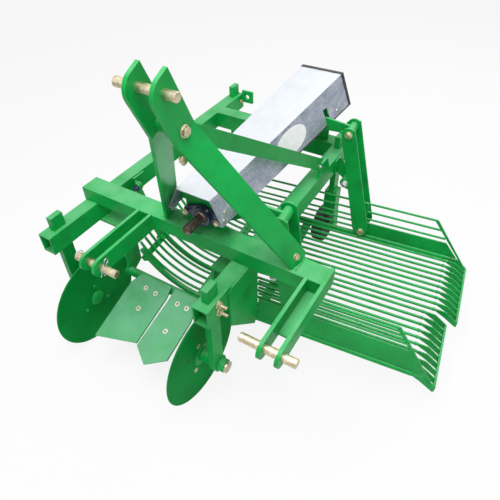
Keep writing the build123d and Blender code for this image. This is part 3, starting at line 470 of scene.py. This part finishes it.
def turned(mesh, origin, direction, profile, sides=24, turn=0.0):
    """Solid of revolution: profile is a list of (radius, height) from the base up."""
    pose = Matrix.Translation(origin) @ facing(direction)
    rings = []
    for radius, height in profile:
        angles = (turn + 2 * math.pi * i / sides for i in range(sides))
        rings.append([
            mesh.verts.new(pose @ Vector((radius * math.cos(a), radius * math.sin(a), height)))
            for a in angles])
    walls(mesh, rings, sides > SMOOTH_SIDES)


def bevelled(radius, shoulder, top_radius, height):
    """Profile of a plain disc whose top edge is broken."""
    return ((radius, 0.0), (radius, shoulder), (top_radius, height))


def scaled(size, profile):
    """Profile given in shares of a size."""
    return tuple((size * radius, size * height) for radius, height in profile)


print("turning ready")

# %% [markdown]
# ## Heads, nuts and bolts
# A bolt's head stands on a washer, and a nut shows the end of the thread. Each is turned
# by a random angle, because no fitter lines the flats up. All proportions follow half the
# size across the flats, so the rest of the script only gives a place, a way and a size.

# %% Heads, nuts and bolts
DOME = ((1.0, 0.0), (0.94, 0.30), (0.70, 0.52), (0.30, 0.62))
THREAD_END = bevelled(0.55, 0.42, 0.47, 0.52)


def dome(body, finish, origin, direction, radius):
    """Low domed head."""
    turned(kit.mesh(body, finish), origin, direction, scaled(radius, DOME), 20)


def hex_head(mesh, origin, direction, size, height, turn):
    """Six-sided head or nut of a given half width, with a chamfered crown."""
    corner = size / math.cos(math.pi / 6)
    profile = ((corner * 0.97, 0.0), (corner, height * 0.06), (corner, height * 0.80), (size * 0.90, height))
    turned(mesh, origin, direction, profile, 6, turn)


def bolt(body, finish, origin, direction, size, nut=False):
    """Washer and head, or washer, nut and thread end, standing on a face."""
    mesh = kit.mesh(body, finish)
    direction = direction.normalized()
    turn = rng.uniform(0, math.pi / 3)
    washer = size * 0.22
    turned(mesh, origin, direction, bevelled(size * 1.35, washer * 0.8, size * 1.28, washer))
    seat = origin + direction * washer
    hex_head(mesh, seat, direction, size, size * (0.85 if nut else 0.70), turn)
    if nut:
        turned(mesh, seat + direction * size * 0.8, direction, scaled(size, THREAD_END), 16)


print("fastening tools ready")

# %% [markdown]
# ## Welds and bent wire
# A weld bead is a rope of overlapping ripples laid along a joint. It could be a curve with
# a bevel, but a swept ring whose radius follows a wave gives the ripples too, so `rope`
# sweeps one along any run of points. The same sweep with a constant radius bends wire.

# %% Rope, weld and wire
def finer(path, step):
    """The same path with points at most a step apart."""
    fine = [path[0]]
    for start, end in zip(path, path[1:]):
        count = max(1, int((end - start).length / step))
        fine += [start.lerp(end, (i + 1) / count) for i in range(count)]
    return fine


def rope(mesh, path, radius_at, sides):
    """Tube through points, with the radius given by a function of the distance run."""
    up = Vector((0.13, 0.21, 0.97))
    run = 0.0
    rings = []
    for i, point in enumerate(path):
        ahead = path[min(i + 1, len(path) - 1)] - path[max(i - 1, 0)]
        ahead.normalize()
        side = ahead.cross(up)
        if side.length < 0.2:
            side = ahead.cross(X)
        side.normalize()
        up = side.cross(ahead).normalized()
        if i:
            run += (point - path[i - 1]).length
        radius = radius_at(run)
        rings.append([
            mesh.verts.new(point + (side * math.cos(a) + up * math.sin(a)) * radius)
            for a in (2 * math.pi * k / sides for k in range(sides))])
    walls(mesh, rings, True)


def weld(body, start, end, radius=0.0032, ripple=0.0055):
    """Rippled bead along a straight joint."""
    phase = rng.uniform(0, 6)

    def radius_at(run):
        wave = math.sin(phase + run * 2 * math.pi / ripple)
        return radius * (0.84 + 0.16 * wave + rng.uniform(-0.05, 0.05))

    rope(kit.mesh(body, "green_paint"), finer([start, end], ripple / 3.2), radius_at, 7)


def wire(body, finish, path, radius):
    rope(kit.mesh(body, finish), path, lambda run: radius, 8)


def loop_points(centre, across, along, radius, start, end, count):
    """Arc of points in the plane of two unit vectors, angles in degrees."""
    angles = [math.radians(start + (end - start) * i / count) for i in range(count + 1)]
    return [centre + (across * math.cos(a) + along * math.sin(a)) * radius for a in angles]


print("welding tools ready")

# %% [markdown]
# ## Mast
# The mast is two plates that lean together over the front beam, with a brace from their
# top to the left rail. Bolts clamp the brace between the plates and hold its foot and the
# plates' feet, and the plates are welded to the beam on both sides. The feet lean, so
# their bolts are placed by a probe. The welds are straight runs read from the plates' box.

# %% Mast bolts and welds
bolt("frame", "yellow_zinc", at(44, -179.7, 531), X, 0.0125)
bolt("frame", "yellow_zinc", at(-44, -179.7, 531), -X, 0.0125, nut=True)
bolt("frame", "yellow_zinc", at(52, -200, 465), -X, 0.0105, nut=True)
# solid, where the probe starts, its direction, finish, size and whether it is a nut
for node, start, direction, finish, size, nut in (
    ("left_mast_plate", at(330, 43.8, 27.2), -X, "yellow_zinc", 0.0095, False),
    ("right_mast_plate", at(-150, 46, 30), -X, "white_zinc", 0.0085, True),
    ("right_mast_plate", at(-400, 46, 30), X, "yellow_zinc", 0.0085, False),
    ("left_rail", at(84, 520, -14), Y, "white_zinc", 0.0065, True),
):
    point, normal = touch(node, start, direction)
    bolt("frame", finish, point, normal, size, nut)

plate_thickness = 0.0128
weld_height = beam_high.z + 0.0008
weld_front, weld_rear = beam_low.y + 0.014, beam_high.y - 0.002
for side, name in ((1, "left"), (-1, "right")):
    low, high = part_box(f"{name}_mast_plate")
    outer = high.x if side > 0 else low.x
    for edge in (outer, outer - side * plate_thickness):
        weld("frame", Vector((edge, weld_front, weld_height)), Vector((edge, weld_rear, weld_height)))
print("mast dressed")

# %% [markdown]
# ## Plough bolts
# The share blades wear out and are held by plough bolts, whose flat heads sink into the
# blade so that soil slides over them. The head is a shallow cone with a square socket. It
# could be cut into the blade, but a solid isn't changed here, so a thin dished ring stands
# about a millimetre proud, and a dark square peg stands in it, painted shade for the
# socket's recess. Each bolt has an x and a y, and a probe from above finds the blade's
# face under it.

# %% Plough bolts on the share
probe_start_z = -300
face_gap = 0.0002
dished_head = ((0.0112, 0.0), (0.0112, 0.0007), (0.0098, 0.0013), (0.0054, 0.0006))
socket_shade_peg = bevelled(0.0046, 0.0010, 0.0040, 0.0014)
# x and y of the two upper bolts and the lower one
plough_bolts = {
    "right_share_blade": ((-373.3, -52.2), (-320.1, -55.7), (-352.7, -135.0)),
    "left_share_blade": ((-206.5, -53.7), (-160.3, -53.6), (-190.2, -163.2)),
}
for blade, places in plough_bolts.items():
    for x, y in places:
        point, normal = touch(blade, at(x, y, probe_start_z), -Z)
        seat = point + normal * face_gap
        turned(kit.mesh("frame", "pale_zinc"), seat, normal, dished_head)
        # The dark peg is painted shade for the socket's recess.
        turned(kit.mesh("frame", "shaft_steel"), seat, normal, socket_shade_peg, 4, rng.uniform(0, 1.5))
    print(blade, "bolts", len(places))

# %% [markdown]
# ## Coulter hubs
# Each coulter disc is held to its hub by three bolts on a circle, and its axle ends in a
# turned stub. The left disc shows the hub's side, with washers and flat heads. The right
# one shows its inner face, where a green cap covers the axle. All of these ride on the
# coulter, so that they turn with it.

# %% Coulter hubs
BOLT_CIRCLE = 0.068
right_hub, left_hub = hub_at["right_coulter_spin"], hub_at["left_coulter_spin"]
right_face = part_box("right_coulter_disc")[1].x
left_back, left_face = (corner.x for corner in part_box("left_coulter_disc"))


def around(hub, x, radius=0.0, degrees=0.0):
    """Point on a circle about a hub that lies along X."""
    angle = math.radians(degrees)
    return Vector((x, hub.y + radius * math.cos(angle), hub.z + radius * math.sin(angle)))


for degrees in (88, -40, 196):
    dome("right_coulter", "green_paint", around(right_hub, right_face, BOLT_CIRCLE, degrees), X, 0.0085)
for degrees in (-136, -16, 104):
    seat = around(left_hub, left_face, BOLT_CIRCLE, degrees)
    zinc = kit.mesh("left_coulter", "yellow_zinc")
    turned(zinc, seat, X, bevelled(0.0105, 0.0007, 0.0100, 0.0009))
    hex_head(zinc, seat + X * 0.0009, X, 0.0072, 0.0029, rng.uniform(0, 1))
    dome("left_coulter", "green_paint", around(left_hub, left_back, BOLT_CIRCLE, degrees), -X, 0.0085)

flange = bevelled(0.048, 0.0019, 0.0455, 0.0027)
cap = ((0.0335, 0.0), (0.0335, 0.0020), (0.0270, 0.0048), (0.0145, 0.0087))
hole_shade_disc = ((0.0062, 0.0), (0.0060, 0.0006))
turned(kit.mesh("left_coulter", "green_paint"), around(left_hub, left_face), X, flange, 48)
# A black disc on the left disc's face is painted shade for an open hole.
turned(kit.mesh("left_coulter", "trim_black"), at(left_face / MM, -250, -379), X, hole_shade_disc)
turned(kit.mesh("right_coulter", "green_paint"), around(right_hub, right_face), X, cap, 40)

left_inner_end, left_reach = (corner.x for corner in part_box("left_coulter_axle"))
right_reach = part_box("right_coulter_axle")[0].x
axle_end = ((0.0120, 0.0), (0.0120, 0.0042))
turned(kit.mesh("left_coulter", "yellow_zinc"), around(left_hub, left_reach - 0.0045), X, axle_end, 20)
dome("left_coulter", "yellow_zinc", around(left_hub, left_inner_end + 0.004), -X, 0.0062)
turned(kit.mesh("right_coulter", "yellow_zinc"), around(right_hub, right_reach + 0.0045), -X, axle_end, 20)
print("coulters dressed")

# %% [markdown]
# ## Clamp bolts of the coulter shanks
# Each shank slides in the front end of its rail and is clamped there by two bolts. On the
# left the bolts' long threaded ends stick out beside the rail. A real thread is a helix,
# but rings that grow and shrink along the bolt look much the same at this size and cost
# far less.

# %% Clamp bolts of the coulter shanks
THREAD_PITCH = 0.0018


def thread(size, reach):
    """Profile of a threaded rod: a crest and a root for each turn."""
    turns = max(3, int(reach / THREAD_PITCH))
    profile = []
    for i in range(turns):
        profile += [(size * 0.56, i * reach / turns), (size * 0.50, (i + 0.5) * reach / turns)]
    return tuple(profile) + ((size * 0.44, reach),)


clamp_size, clamp_reach = 0.0110, 0.022
for z in (-76, -112):
    seat = at(95, -175, z)
    bolt("frame", "yellow_zinc", seat, X, clamp_size, nut=True)
    tip = seat + X * clamp_size * 1.05
    turned(kit.mesh("frame", "yellow_zinc"), tip, X, thread(clamp_size, clamp_reach), 16)
    bolt("frame", "yellow_zinc", at(-665, -175, z), -X, 0.0098)
print("clamp bolts", 4)

# %% [markdown]
# ## Clips in the right lower link pin
# A spring clip keeps the tractor's link on its pin. It is one piece of wire: a round head,
# a straight leg through the pin and a bowed leg that grips it from outside. Its path is an
# arc with a few points for the legs, and the wire is swept along it. The other end of the
# pin has a plain ring.

# %% Clips in the right lower link pin
pin = middle("right_link_pin")
inner = Vector((-290 * MM, pin.y, pin.z))
lean, across = Vector((0, 0.42, 0.91)), Vector((0, 0.91, -0.42))
head = loop_points(inner + lean * 0.030, across, lean, 0.0085, -60, 240, 14)
straight_leg = [
    inner - lean * 0.026 + across * 0.001, inner + lean * 0.012 + across * 0.003, head[0]]
bowed_leg = [
    head[-1], inner + lean * 0.016 - across * 0.010, inner - across * 0.0168,
    inner - lean * 0.017 - across * 0.010, inner - lean * 0.026 - across * 0.015]
wire("frame", "white_zinc", straight_leg + head + bowed_leg, 0.0019)
outer = Vector((-410 * MM, pin.y, pin.z + 0.006))
wire("frame", "white_zinc", loop_points(outer, Y, Z, 0.0176, 0, 360, 28), 0.0014)
print("right link pin clipped")

# %% [markdown]
# ## Bearings and cover screws
# Each bearing is a cast flange housing with two bolts and a grease nipple on its shoulder.
# The cover over the shaft is held by small screws, bright or yellow, on both sides. The
# cover's sides slope, so each screw is placed by a probe from outside.

# %% Bearings and cover screws
for node, sign in (("front_bearing", -1), ("rear_bearing", 1)):
    low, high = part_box(node)
    face_y = low.y if sign < 0 else high.y
    for x in (-168, -36):
        bolt("frame", "yellow_zinc", Vector((x * MM, face_y, (low.z + high.z) / 2)), Y * sign, 0.0085)
    nipple = Vector((middle(node).x + 0.022, face_y - sign * 0.0100, high.z - 0.009))
    dome("frame", "yellow_zinc", nipple, Vector((0.55, 0, 0.83)), 0.0040)

small_washer = bevelled(0.0075, 0.0007, 0.0070, 0.0009)
cover_screws = ((13, 97, "yellow_zinc"), (32, 116, "yellow_zinc"), (871, 109, "white_zinc"))
for y, z, left_finish in cover_screws:
    point, normal = touch("shaft_cover", at(200, y, z), -X)
    turned(kit.mesh("frame", "white_zinc"), point, normal, small_washer)
    dome("frame", left_finish, point + normal * 0.0009, normal, 0.0050)
    point, normal = touch("shaft_cover", at(-400, y, z), X)
    dome("frame", "yellow_zinc", point, normal, 0.0050)
print("cover screws", 2 * len(cover_screws))

# %% [markdown]
# ## Black strips on the cover's edges
# A black strip runs along the cover's lower edges and up its rear corners, a painted
# shadow for the dark line under the sheet's edge. The connecting rods pass through
# openings in the edge, and the strip has to stop there. A probe walks along the edge: where
# it meets this side's sheet the strip runs on, and where it looks through to the far side
# it ends.

# %% Black strips on the cover's edges, painted shadow
def strip(start, end, normal, width_way, width, thick):
    """Thin bar laid on a face between two points, its width to one side of them."""
    below, bevel = -0.0004, thick * 0.5
    section = (
        (0.0, below), (width, below), (width, thick * 0.6),
        (width - bevel, thick), (bevel, thick), (0.0, thick * 0.6))
    # The strip is black as a painted shadow under the cover's edge.
    mesh = kit.mesh("frame", "trim_black")
    walls(mesh, [
        [mesh.verts.new(point + width_way * a + normal * b) for a, b in section]
        for point in (start, end)], False)


edge_front, edge_rear, edge_step = 90, 992, 2
overhang = 0.003
for start_x, probe in ((250, -X), (-450, X)):
    low_rear, face = touch("shaft_cover", at(start_x, edge_rear, 86), probe)
    high_rear, _ = touch("shaft_cover", at(start_x, edge_rear, 168), probe)
    down = (low_rear - high_rear).normalized()
    strip(low_rear + down * overhang, high_rear - down * 0.021, face, Y, 0.0078, 0.0012)
    stretch = []
    for y in range(edge_front, edge_rear + 1, edge_step):
        found, _ = touch("shaft_cover", at(start_x, y, 86), probe)
        on_this_side = abs(found.x - low_rear.x) < 0.02
        if on_this_side:
            stretch.append(found)
        if stretch and (y == edge_rear or not on_this_side):
            strip(stretch[0] + down * overhang, stretch[-1] + down * overhang, face, -down, 0.0055, 0.0014)
            stretch = []
print("cover edged")

# %% [markdown]
# ## Inner ring and locking collar
# The bearing's inner ring and its locking collar are clamped to the shaft and turn in the
# housing. One turned profile with two steps makes both, and the collar's set screw is a
# small dome. They ride on the shaft, a little clear of the housing's face.

# %% Inner ring and locking collar on the shaft
shaft = middle("drive_shaft")
ring_and_collar = (
    (0.0262, 0.0), (0.0262, 0.0022), (0.0250, 0.0030),
    (0.0232, 0.0030), (0.0232, 0.0072), (0.0220, 0.0084))
for node, sign in (("front_bearing", -1), ("rear_bearing", 1)):
    low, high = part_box(node)
    face_y = (low.y if sign < 0 else high.y) + sign * 0.0006
    seat = Vector((shaft.x, face_y, shaft.z))
    turned(kit.mesh("drive_shaft", "shaft_steel"), seat, Y * sign, ring_and_collar, 48)
    set_screw = seat + Vector((0.0165, sign * 0.0052, 0.0165))
    dome("drive_shaft", "yellow_zinc", set_screw, X + Z, 0.0030)
print("collars ready")

# %% [markdown]
# ## Blank oval label
# The cover's left side has an oval sticker, left blank here. It could be a colour drawn in
# the cover's material, but then it would not be a piece that can be taken off, so it is a
# thin oval plate on the sheet, with its rim broken by half a millimetre.

# %% Blank oval label
def oval_label(centre, normal, along, half_length, half_width, thick, sides=72):
    """Thin oval plate on a flat face."""
    along = (along - normal * along.dot(normal)).normalized()
    across = normal.cross(along)
    mesh = kit.mesh("frame", "label_white")
    rings = []
    for height, inset in ((0.0, 0.0), (thick * 0.7, 0.0), (thick, 0.0005)):
        length, width = half_length - inset, half_width - inset
        angles = (2 * math.pi * i / sides for i in range(sides))
        rings.append([
            mesh.verts.new(
                centre + normal * height + along * (length * math.cos(a)) + across * (width * math.sin(a)))
            for a in angles])
    walls(mesh, rings, False)


point, normal = touch("shaft_cover", at(200, 497.7, 141.9), -X)
oval_label(point, normal, Y, 0.111, 0.047, 0.0008)
print("label placed on the cover")

# %% [markdown]
# ## Rockers and hangers
# The sieves run square to an axis that is turned a few degrees from the machine's own, and
# so do the rockers and hangers that carry them. `skewed` places a point by its run along
# the rods, u, its place across them, v, and its height, z. The angle is read from the
# rocker's joint. Each rocker has three pins: the pivot, the crank pin of the connecting
# rod and the pin of the sieve. All three are joints of the frame, in the middle of the
# rocker, so heads and nuts are set off from them to both sides. On the near arm the pivot
# has a nut on its boss and the other two show heads, and all three have nuts on the far
# arm. The hanger's foot is no joint, but the hanger is as long as the rocker's arm and
# parallel to it, which gives the place.

# %% Rocker and hanger nuts
skew_axis = Vector(next(j["axis"] for j in frame["joints"] if j["name"] == "rear_rocker_swing"))
skew = math.atan2(-skew_axis.x, skew_axis.y)
along_u = Vector((math.cos(skew), math.sin(skew), 0))
along_v = Vector((-math.sin(skew), math.cos(skew), 0))


def skewed(u, v, z):
    return at(u * math.cos(skew) - v * math.sin(skew), u * math.sin(skew) + v * math.cos(skew), z)


to_arm_face = along_v * 0.0485
boss_height = 0.0062
pivot_boss = bevelled(0.0200, 0.0052, 0.0190, boss_height)
for name in ("front", "rear"):
    body = f"{name}_rocker"
    pivot, crank, sieve_pin = (
        hub_at[f"{name}_{joint}"] for joint in ("rocker_swing", "rod_pivot", "sieve_pivot"))
    bolt(body, "yellow_zinc", crank - to_arm_face, -along_v, 0.0125)
    bolt(body, "yellow_zinc", sieve_pin - to_arm_face, -along_v, 0.0130)
    turned(kit.mesh(body, "green_paint"), pivot - to_arm_face, -along_v, pivot_boss, 32)
    pivot_seat = pivot - to_arm_face - along_v * boss_height
    bolt(body, "white_zinc", pivot_seat, -along_v, 0.0120, nut=True)
    for place in (pivot, crank, sieve_pin):
        bolt(body, "yellow_zinc", place + to_arm_face, along_v, 0.0115, nut=True)
print("rocker nuts", 12)

to_lug_face, to_foot_end = along_v * 0.002, along_v * 0.018
for name in ("front", "rear"):
    top = hub_at[f"{name}_hanger_swing"]
    foot = top + hub_at[f"{name}_sieve_pivot"] - hub_at[f"{name}_rocker_swing"]
    bolt("frame", "bearing_navy", top + to_lug_face, -along_v, 0.0100, nut=True)
    bolt(f"{name}_sieve", "bearing_navy", foot + to_foot_end, along_v, 0.0085)
print("hanger nuts", 4)

# %% [markdown]
# ## Nuts and weld collars on the rods
# The sieve's rods pass under a cross bar, with a nut over each, and are welded to the end
# bar with a bead all round. Two rods of the front sieve have bright new nuts. The rods are
# evenly spaced, so their places come from the first, the last and the pitch, and the bead
# is a turned collar that swells in the middle.

# %% Nuts and weld collars on the rods
sieve_z, rod_r, rod_pitch = -452.0, 6.0, 34.0
nut_u, nut_lift, collar_back = -175.0, 7.0, 17.0
weld_collar = tuple((rod_r * MM * swell, height) for swell, height in (
    (0.96, 0.0), (1.26, 0.0022), (1.30, 0.0050), (1.10, 0.0080), (0.96, 0.0095)))
# name, v of the first and last rod, u of the end bar and the rods with a bright nut
for name, first_v, last_v, end_u, bright in (
    ("front", 122.0, 394.0, 708.0, (3, 6)),
    ("rear", 424.0, 730.0, 745.0, ()),
):
    body = f"{name}_sieve"
    count = round((last_v - first_v) / rod_pitch)
    for i in range(count + 1):
        v = first_v + (last_v - first_v) * i / count
        nuts = kit.mesh(body, "white_zinc" if i in bright else "green_paint")
        seat = skewed(nut_u, v, sieve_z + rod_r + nut_lift)
        hex_head(nuts, seat, Z, 0.0072, 0.0058, rng.uniform(0, 1))
        foot = skewed(end_u - collar_back, v, sieve_z)
        turned(kit.mesh(body, "green_paint"), foot, along_u, weld_collar, 14)
    print(body, "rods", count + 1)

# %% [markdown]
# ## Wheel stubs
# Each support wheel turns on a stub that is bolted through the leg: a head shows in the
# wheel's hub and a nut on the leg's outer face. One more bolt holds the eye plate on the
# right rail. The nuts are small enough to stay inside the machine's box.

# %% Wheel stubs and the rail bolt
for name, side in (("left", 1), ("right", -1)):
    hub = hub_at[f"{name}_wheel_spin"]
    wheel_low, wheel_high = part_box(f"{name}_support_wheel")
    leg_low, leg_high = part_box(f"{name}_support_leg")
    inner_x = wheel_low.x - 0.010 if side > 0 else wheel_high.x + 0.010
    leg_x = leg_high.x if side > 0 else leg_low.x
    bolt("frame", "yellow_zinc", around(hub, inner_x), -X * side, 0.0095)
    bolt("frame", "yellow_zinc", around(hub, leg_x), X * side, 0.0103, nut=True)

point, normal = touch("right_rail", at(-420, 1108, -98), -X)
bolt("frame", "yellow_zinc", point, normal, 0.0085)
print("wheel stubs and rail bolt ready")

# %% [markdown]
# ## Welds of the main frame
# The rails are welded to the front and rear beams, and the link brackets and the mast's
# feet to the front beam. Each bead is a straight run, so two ends are enough for it, given
# to `at` as elsewhere.

# %% Welds of the main frame
bracket_face = -0.6
for x in (307.0, 319.0, -307.0, -319.0, -364.0, -376.0):
    weld("frame", at(x, bracket_face, -57), at(x, bracket_face, -3))
for x in (35.0, 95.0, -605.0, -665.0):
    weld("frame", at(x, 2, -60), at(x, 78, -60))
for x in (35.0, -605.0):
    for y in (875.0, 945.0):
        weld("frame", at(x, y, -64), at(x, y, -136), 0.0036)
for y in (51.4, 60.6):
    weld("frame", at(-204, y, 0.6), at(0, y, 0.6))
print("frame welded")

# %% [markdown]
# ## Floor
# The floor is a plain pale sheet that keeps the machine's shadow. Light enough to bleach
# it would bleach the machine too, so the camera alone sees it lifted towards white, by a
# mix with a plain glow.

# %% Floor
ground = cad_box[0].z - 0.0005
floor_mesh = bmesh.new()
bmesh.ops.create_grid(floor_mesh, x_segments=1, y_segments=1, size=40.0)
floor_data = bpy.data.meshes.new("floor")
floor_mesh.to_mesh(floor_data)
floor_mesh.free()
floor = bpy.data.objects.new("floor", floor_data)
floor.location = (0, 0, ground)
bpy.context.scene.collection.objects.link(floor)

floor_paint = Paint("floor", Roughness=0.9)
pale = floor_paint.mix(floor_paint.noise(3.0, 3.0), rgb(0.90, 0.90, 0.90), rgb(0.93, 0.93, 0.93))
floor_paint.drive("Base Color", pale)
lift = floor_paint.node("ShaderNodeLightPath", output="Is Camera Ray") * 0.86
glow = floor_paint.node("ShaderNodeEmission", {}, {"Color": WHITE, "Strength": 1.0})
matte = Value(floor_paint, floor_paint.shader.outputs[0])
floor_paint.show(floor_paint.node("ShaderNodeMixShader", {}, {0: lift, 1: matte, 2: glow}), "Material Output")
floor_data.materials.append(floor_paint.material)
print("floor at", round(ground, 4))

# %% [markdown]
# ## Surround
# A soft white surround fills the shadows. It has two strengths: a low one lights the
# machine, and full white is what the camera, reflections and glass see. Only the kind of
# ray decides between them, so the background is white and the light stays plain.

# %% Surround
world = bpy.data.worlds.new("studio")
bpy.context.scene.world = world
world.use_nodes = True
sky = NodeTree(world.node_tree)
rays = [
    sky.node("ShaderNodeLightPath", output=kind)
    for kind in ("Is Camera Ray", "Is Glossy Ray", "Is Transmission Ray")]
seen = rays[0].larger(rays[1]).larger(rays[2])
lighting = sky.node("ShaderNodeBackground", {}, {"Color": WHITE, "Strength": 0.38})
backdrop = sky.node("ShaderNodeBackground", {}, {"Color": WHITE, "Strength": 1.0})
sky.show(sky.node("ShaderNodeMixShader", {}, {0: seen, 1: lighting, 2: backdrop}), "World Output")
print("surround ready")

# %% [markdown]
# ## Lamps
# Three large area lamps point at the middle of the machine. The key stands almost
# overhead, so top faces are the brightest, the fill softens the front left side, and the
# back lamp separates the machine from the floor.

# %% Lamps
centre = (cad_box[0] + cad_box[1]) / 2
# name, place from the middle of the machine, size in metres and power in watts
for name, offset, size, power in (
    ("key", Vector((0.1, -0.9, 2.9)), 2.2, 86.0),
    ("fill", Vector((2.4, -2.2, 1.8)), 2.6, 8.0),
    ("back", Vector((0.4, 2.8, 2.2)), 2.4, 30.0),
):
    lamp_data = bpy.data.lights.new(name, "AREA")
    lamp_data.size = size
    lamp_data.energy = power
    lamp = bpy.data.objects.new(name, lamp_data)
    lamp.location = centre + offset
    lamp.rotation_mode = "QUATERNION"
    lamp.rotation_quaternion = (-offset).to_track_quat("-Z", "Y")
    bpy.context.scene.collection.objects.link(lamp)
    print("lamp", name, power)

# %% [markdown]
# ## Camera
# The camera looks down at the front left corner. Its direction is worked out from an
# azimuth, an elevation and a small roll, which are easier to read and change than the nine
# numbers of a rotation. The colours go out as they are, through the Standard view.

# %% Camera
azimuth, elevation, roll = (math.radians(angle) for angle in (33.766, 42.267, -2.577))
camera_place = Vector((0.677, -0.7027, 0.4326))
level = math.cos(elevation)
forward = Vector((-math.sin(azimuth) * level, math.cos(azimuth) * level, -math.sin(elevation)))
right = Vector((math.cos(azimuth), math.sin(azimuth), 0))
up = right.cross(forward)
right_rolled = right * math.cos(roll) + up * math.sin(roll)
up_rolled = up * math.cos(roll) - right * math.sin(roll)

camera_data = bpy.data.cameras.new("camera")
camera_data.sensor_width = 36.0
camera_data.lens = 33.45
camera_data.shift_x = 0.030
camera_data.shift_y = -0.0255
camera = bpy.data.objects.new("camera", camera_data)
bpy.context.scene.collection.objects.link(camera)
camera.matrix_world = Matrix((
    (right_rolled.x, up_rolled.x, -forward.x, camera_place.x),
    (right_rolled.y, up_rolled.y, -forward.y, camera_place.y),
    (right_rolled.z, up_rolled.z, -forward.z, camera_place.z),
    (0, 0, 0, 1)))
bpy.context.scene.camera = camera
bpy.context.scene.view_settings.view_transform = "Standard"
print("camera at", camera_place)

# %% Finish
kit.finish("detail")
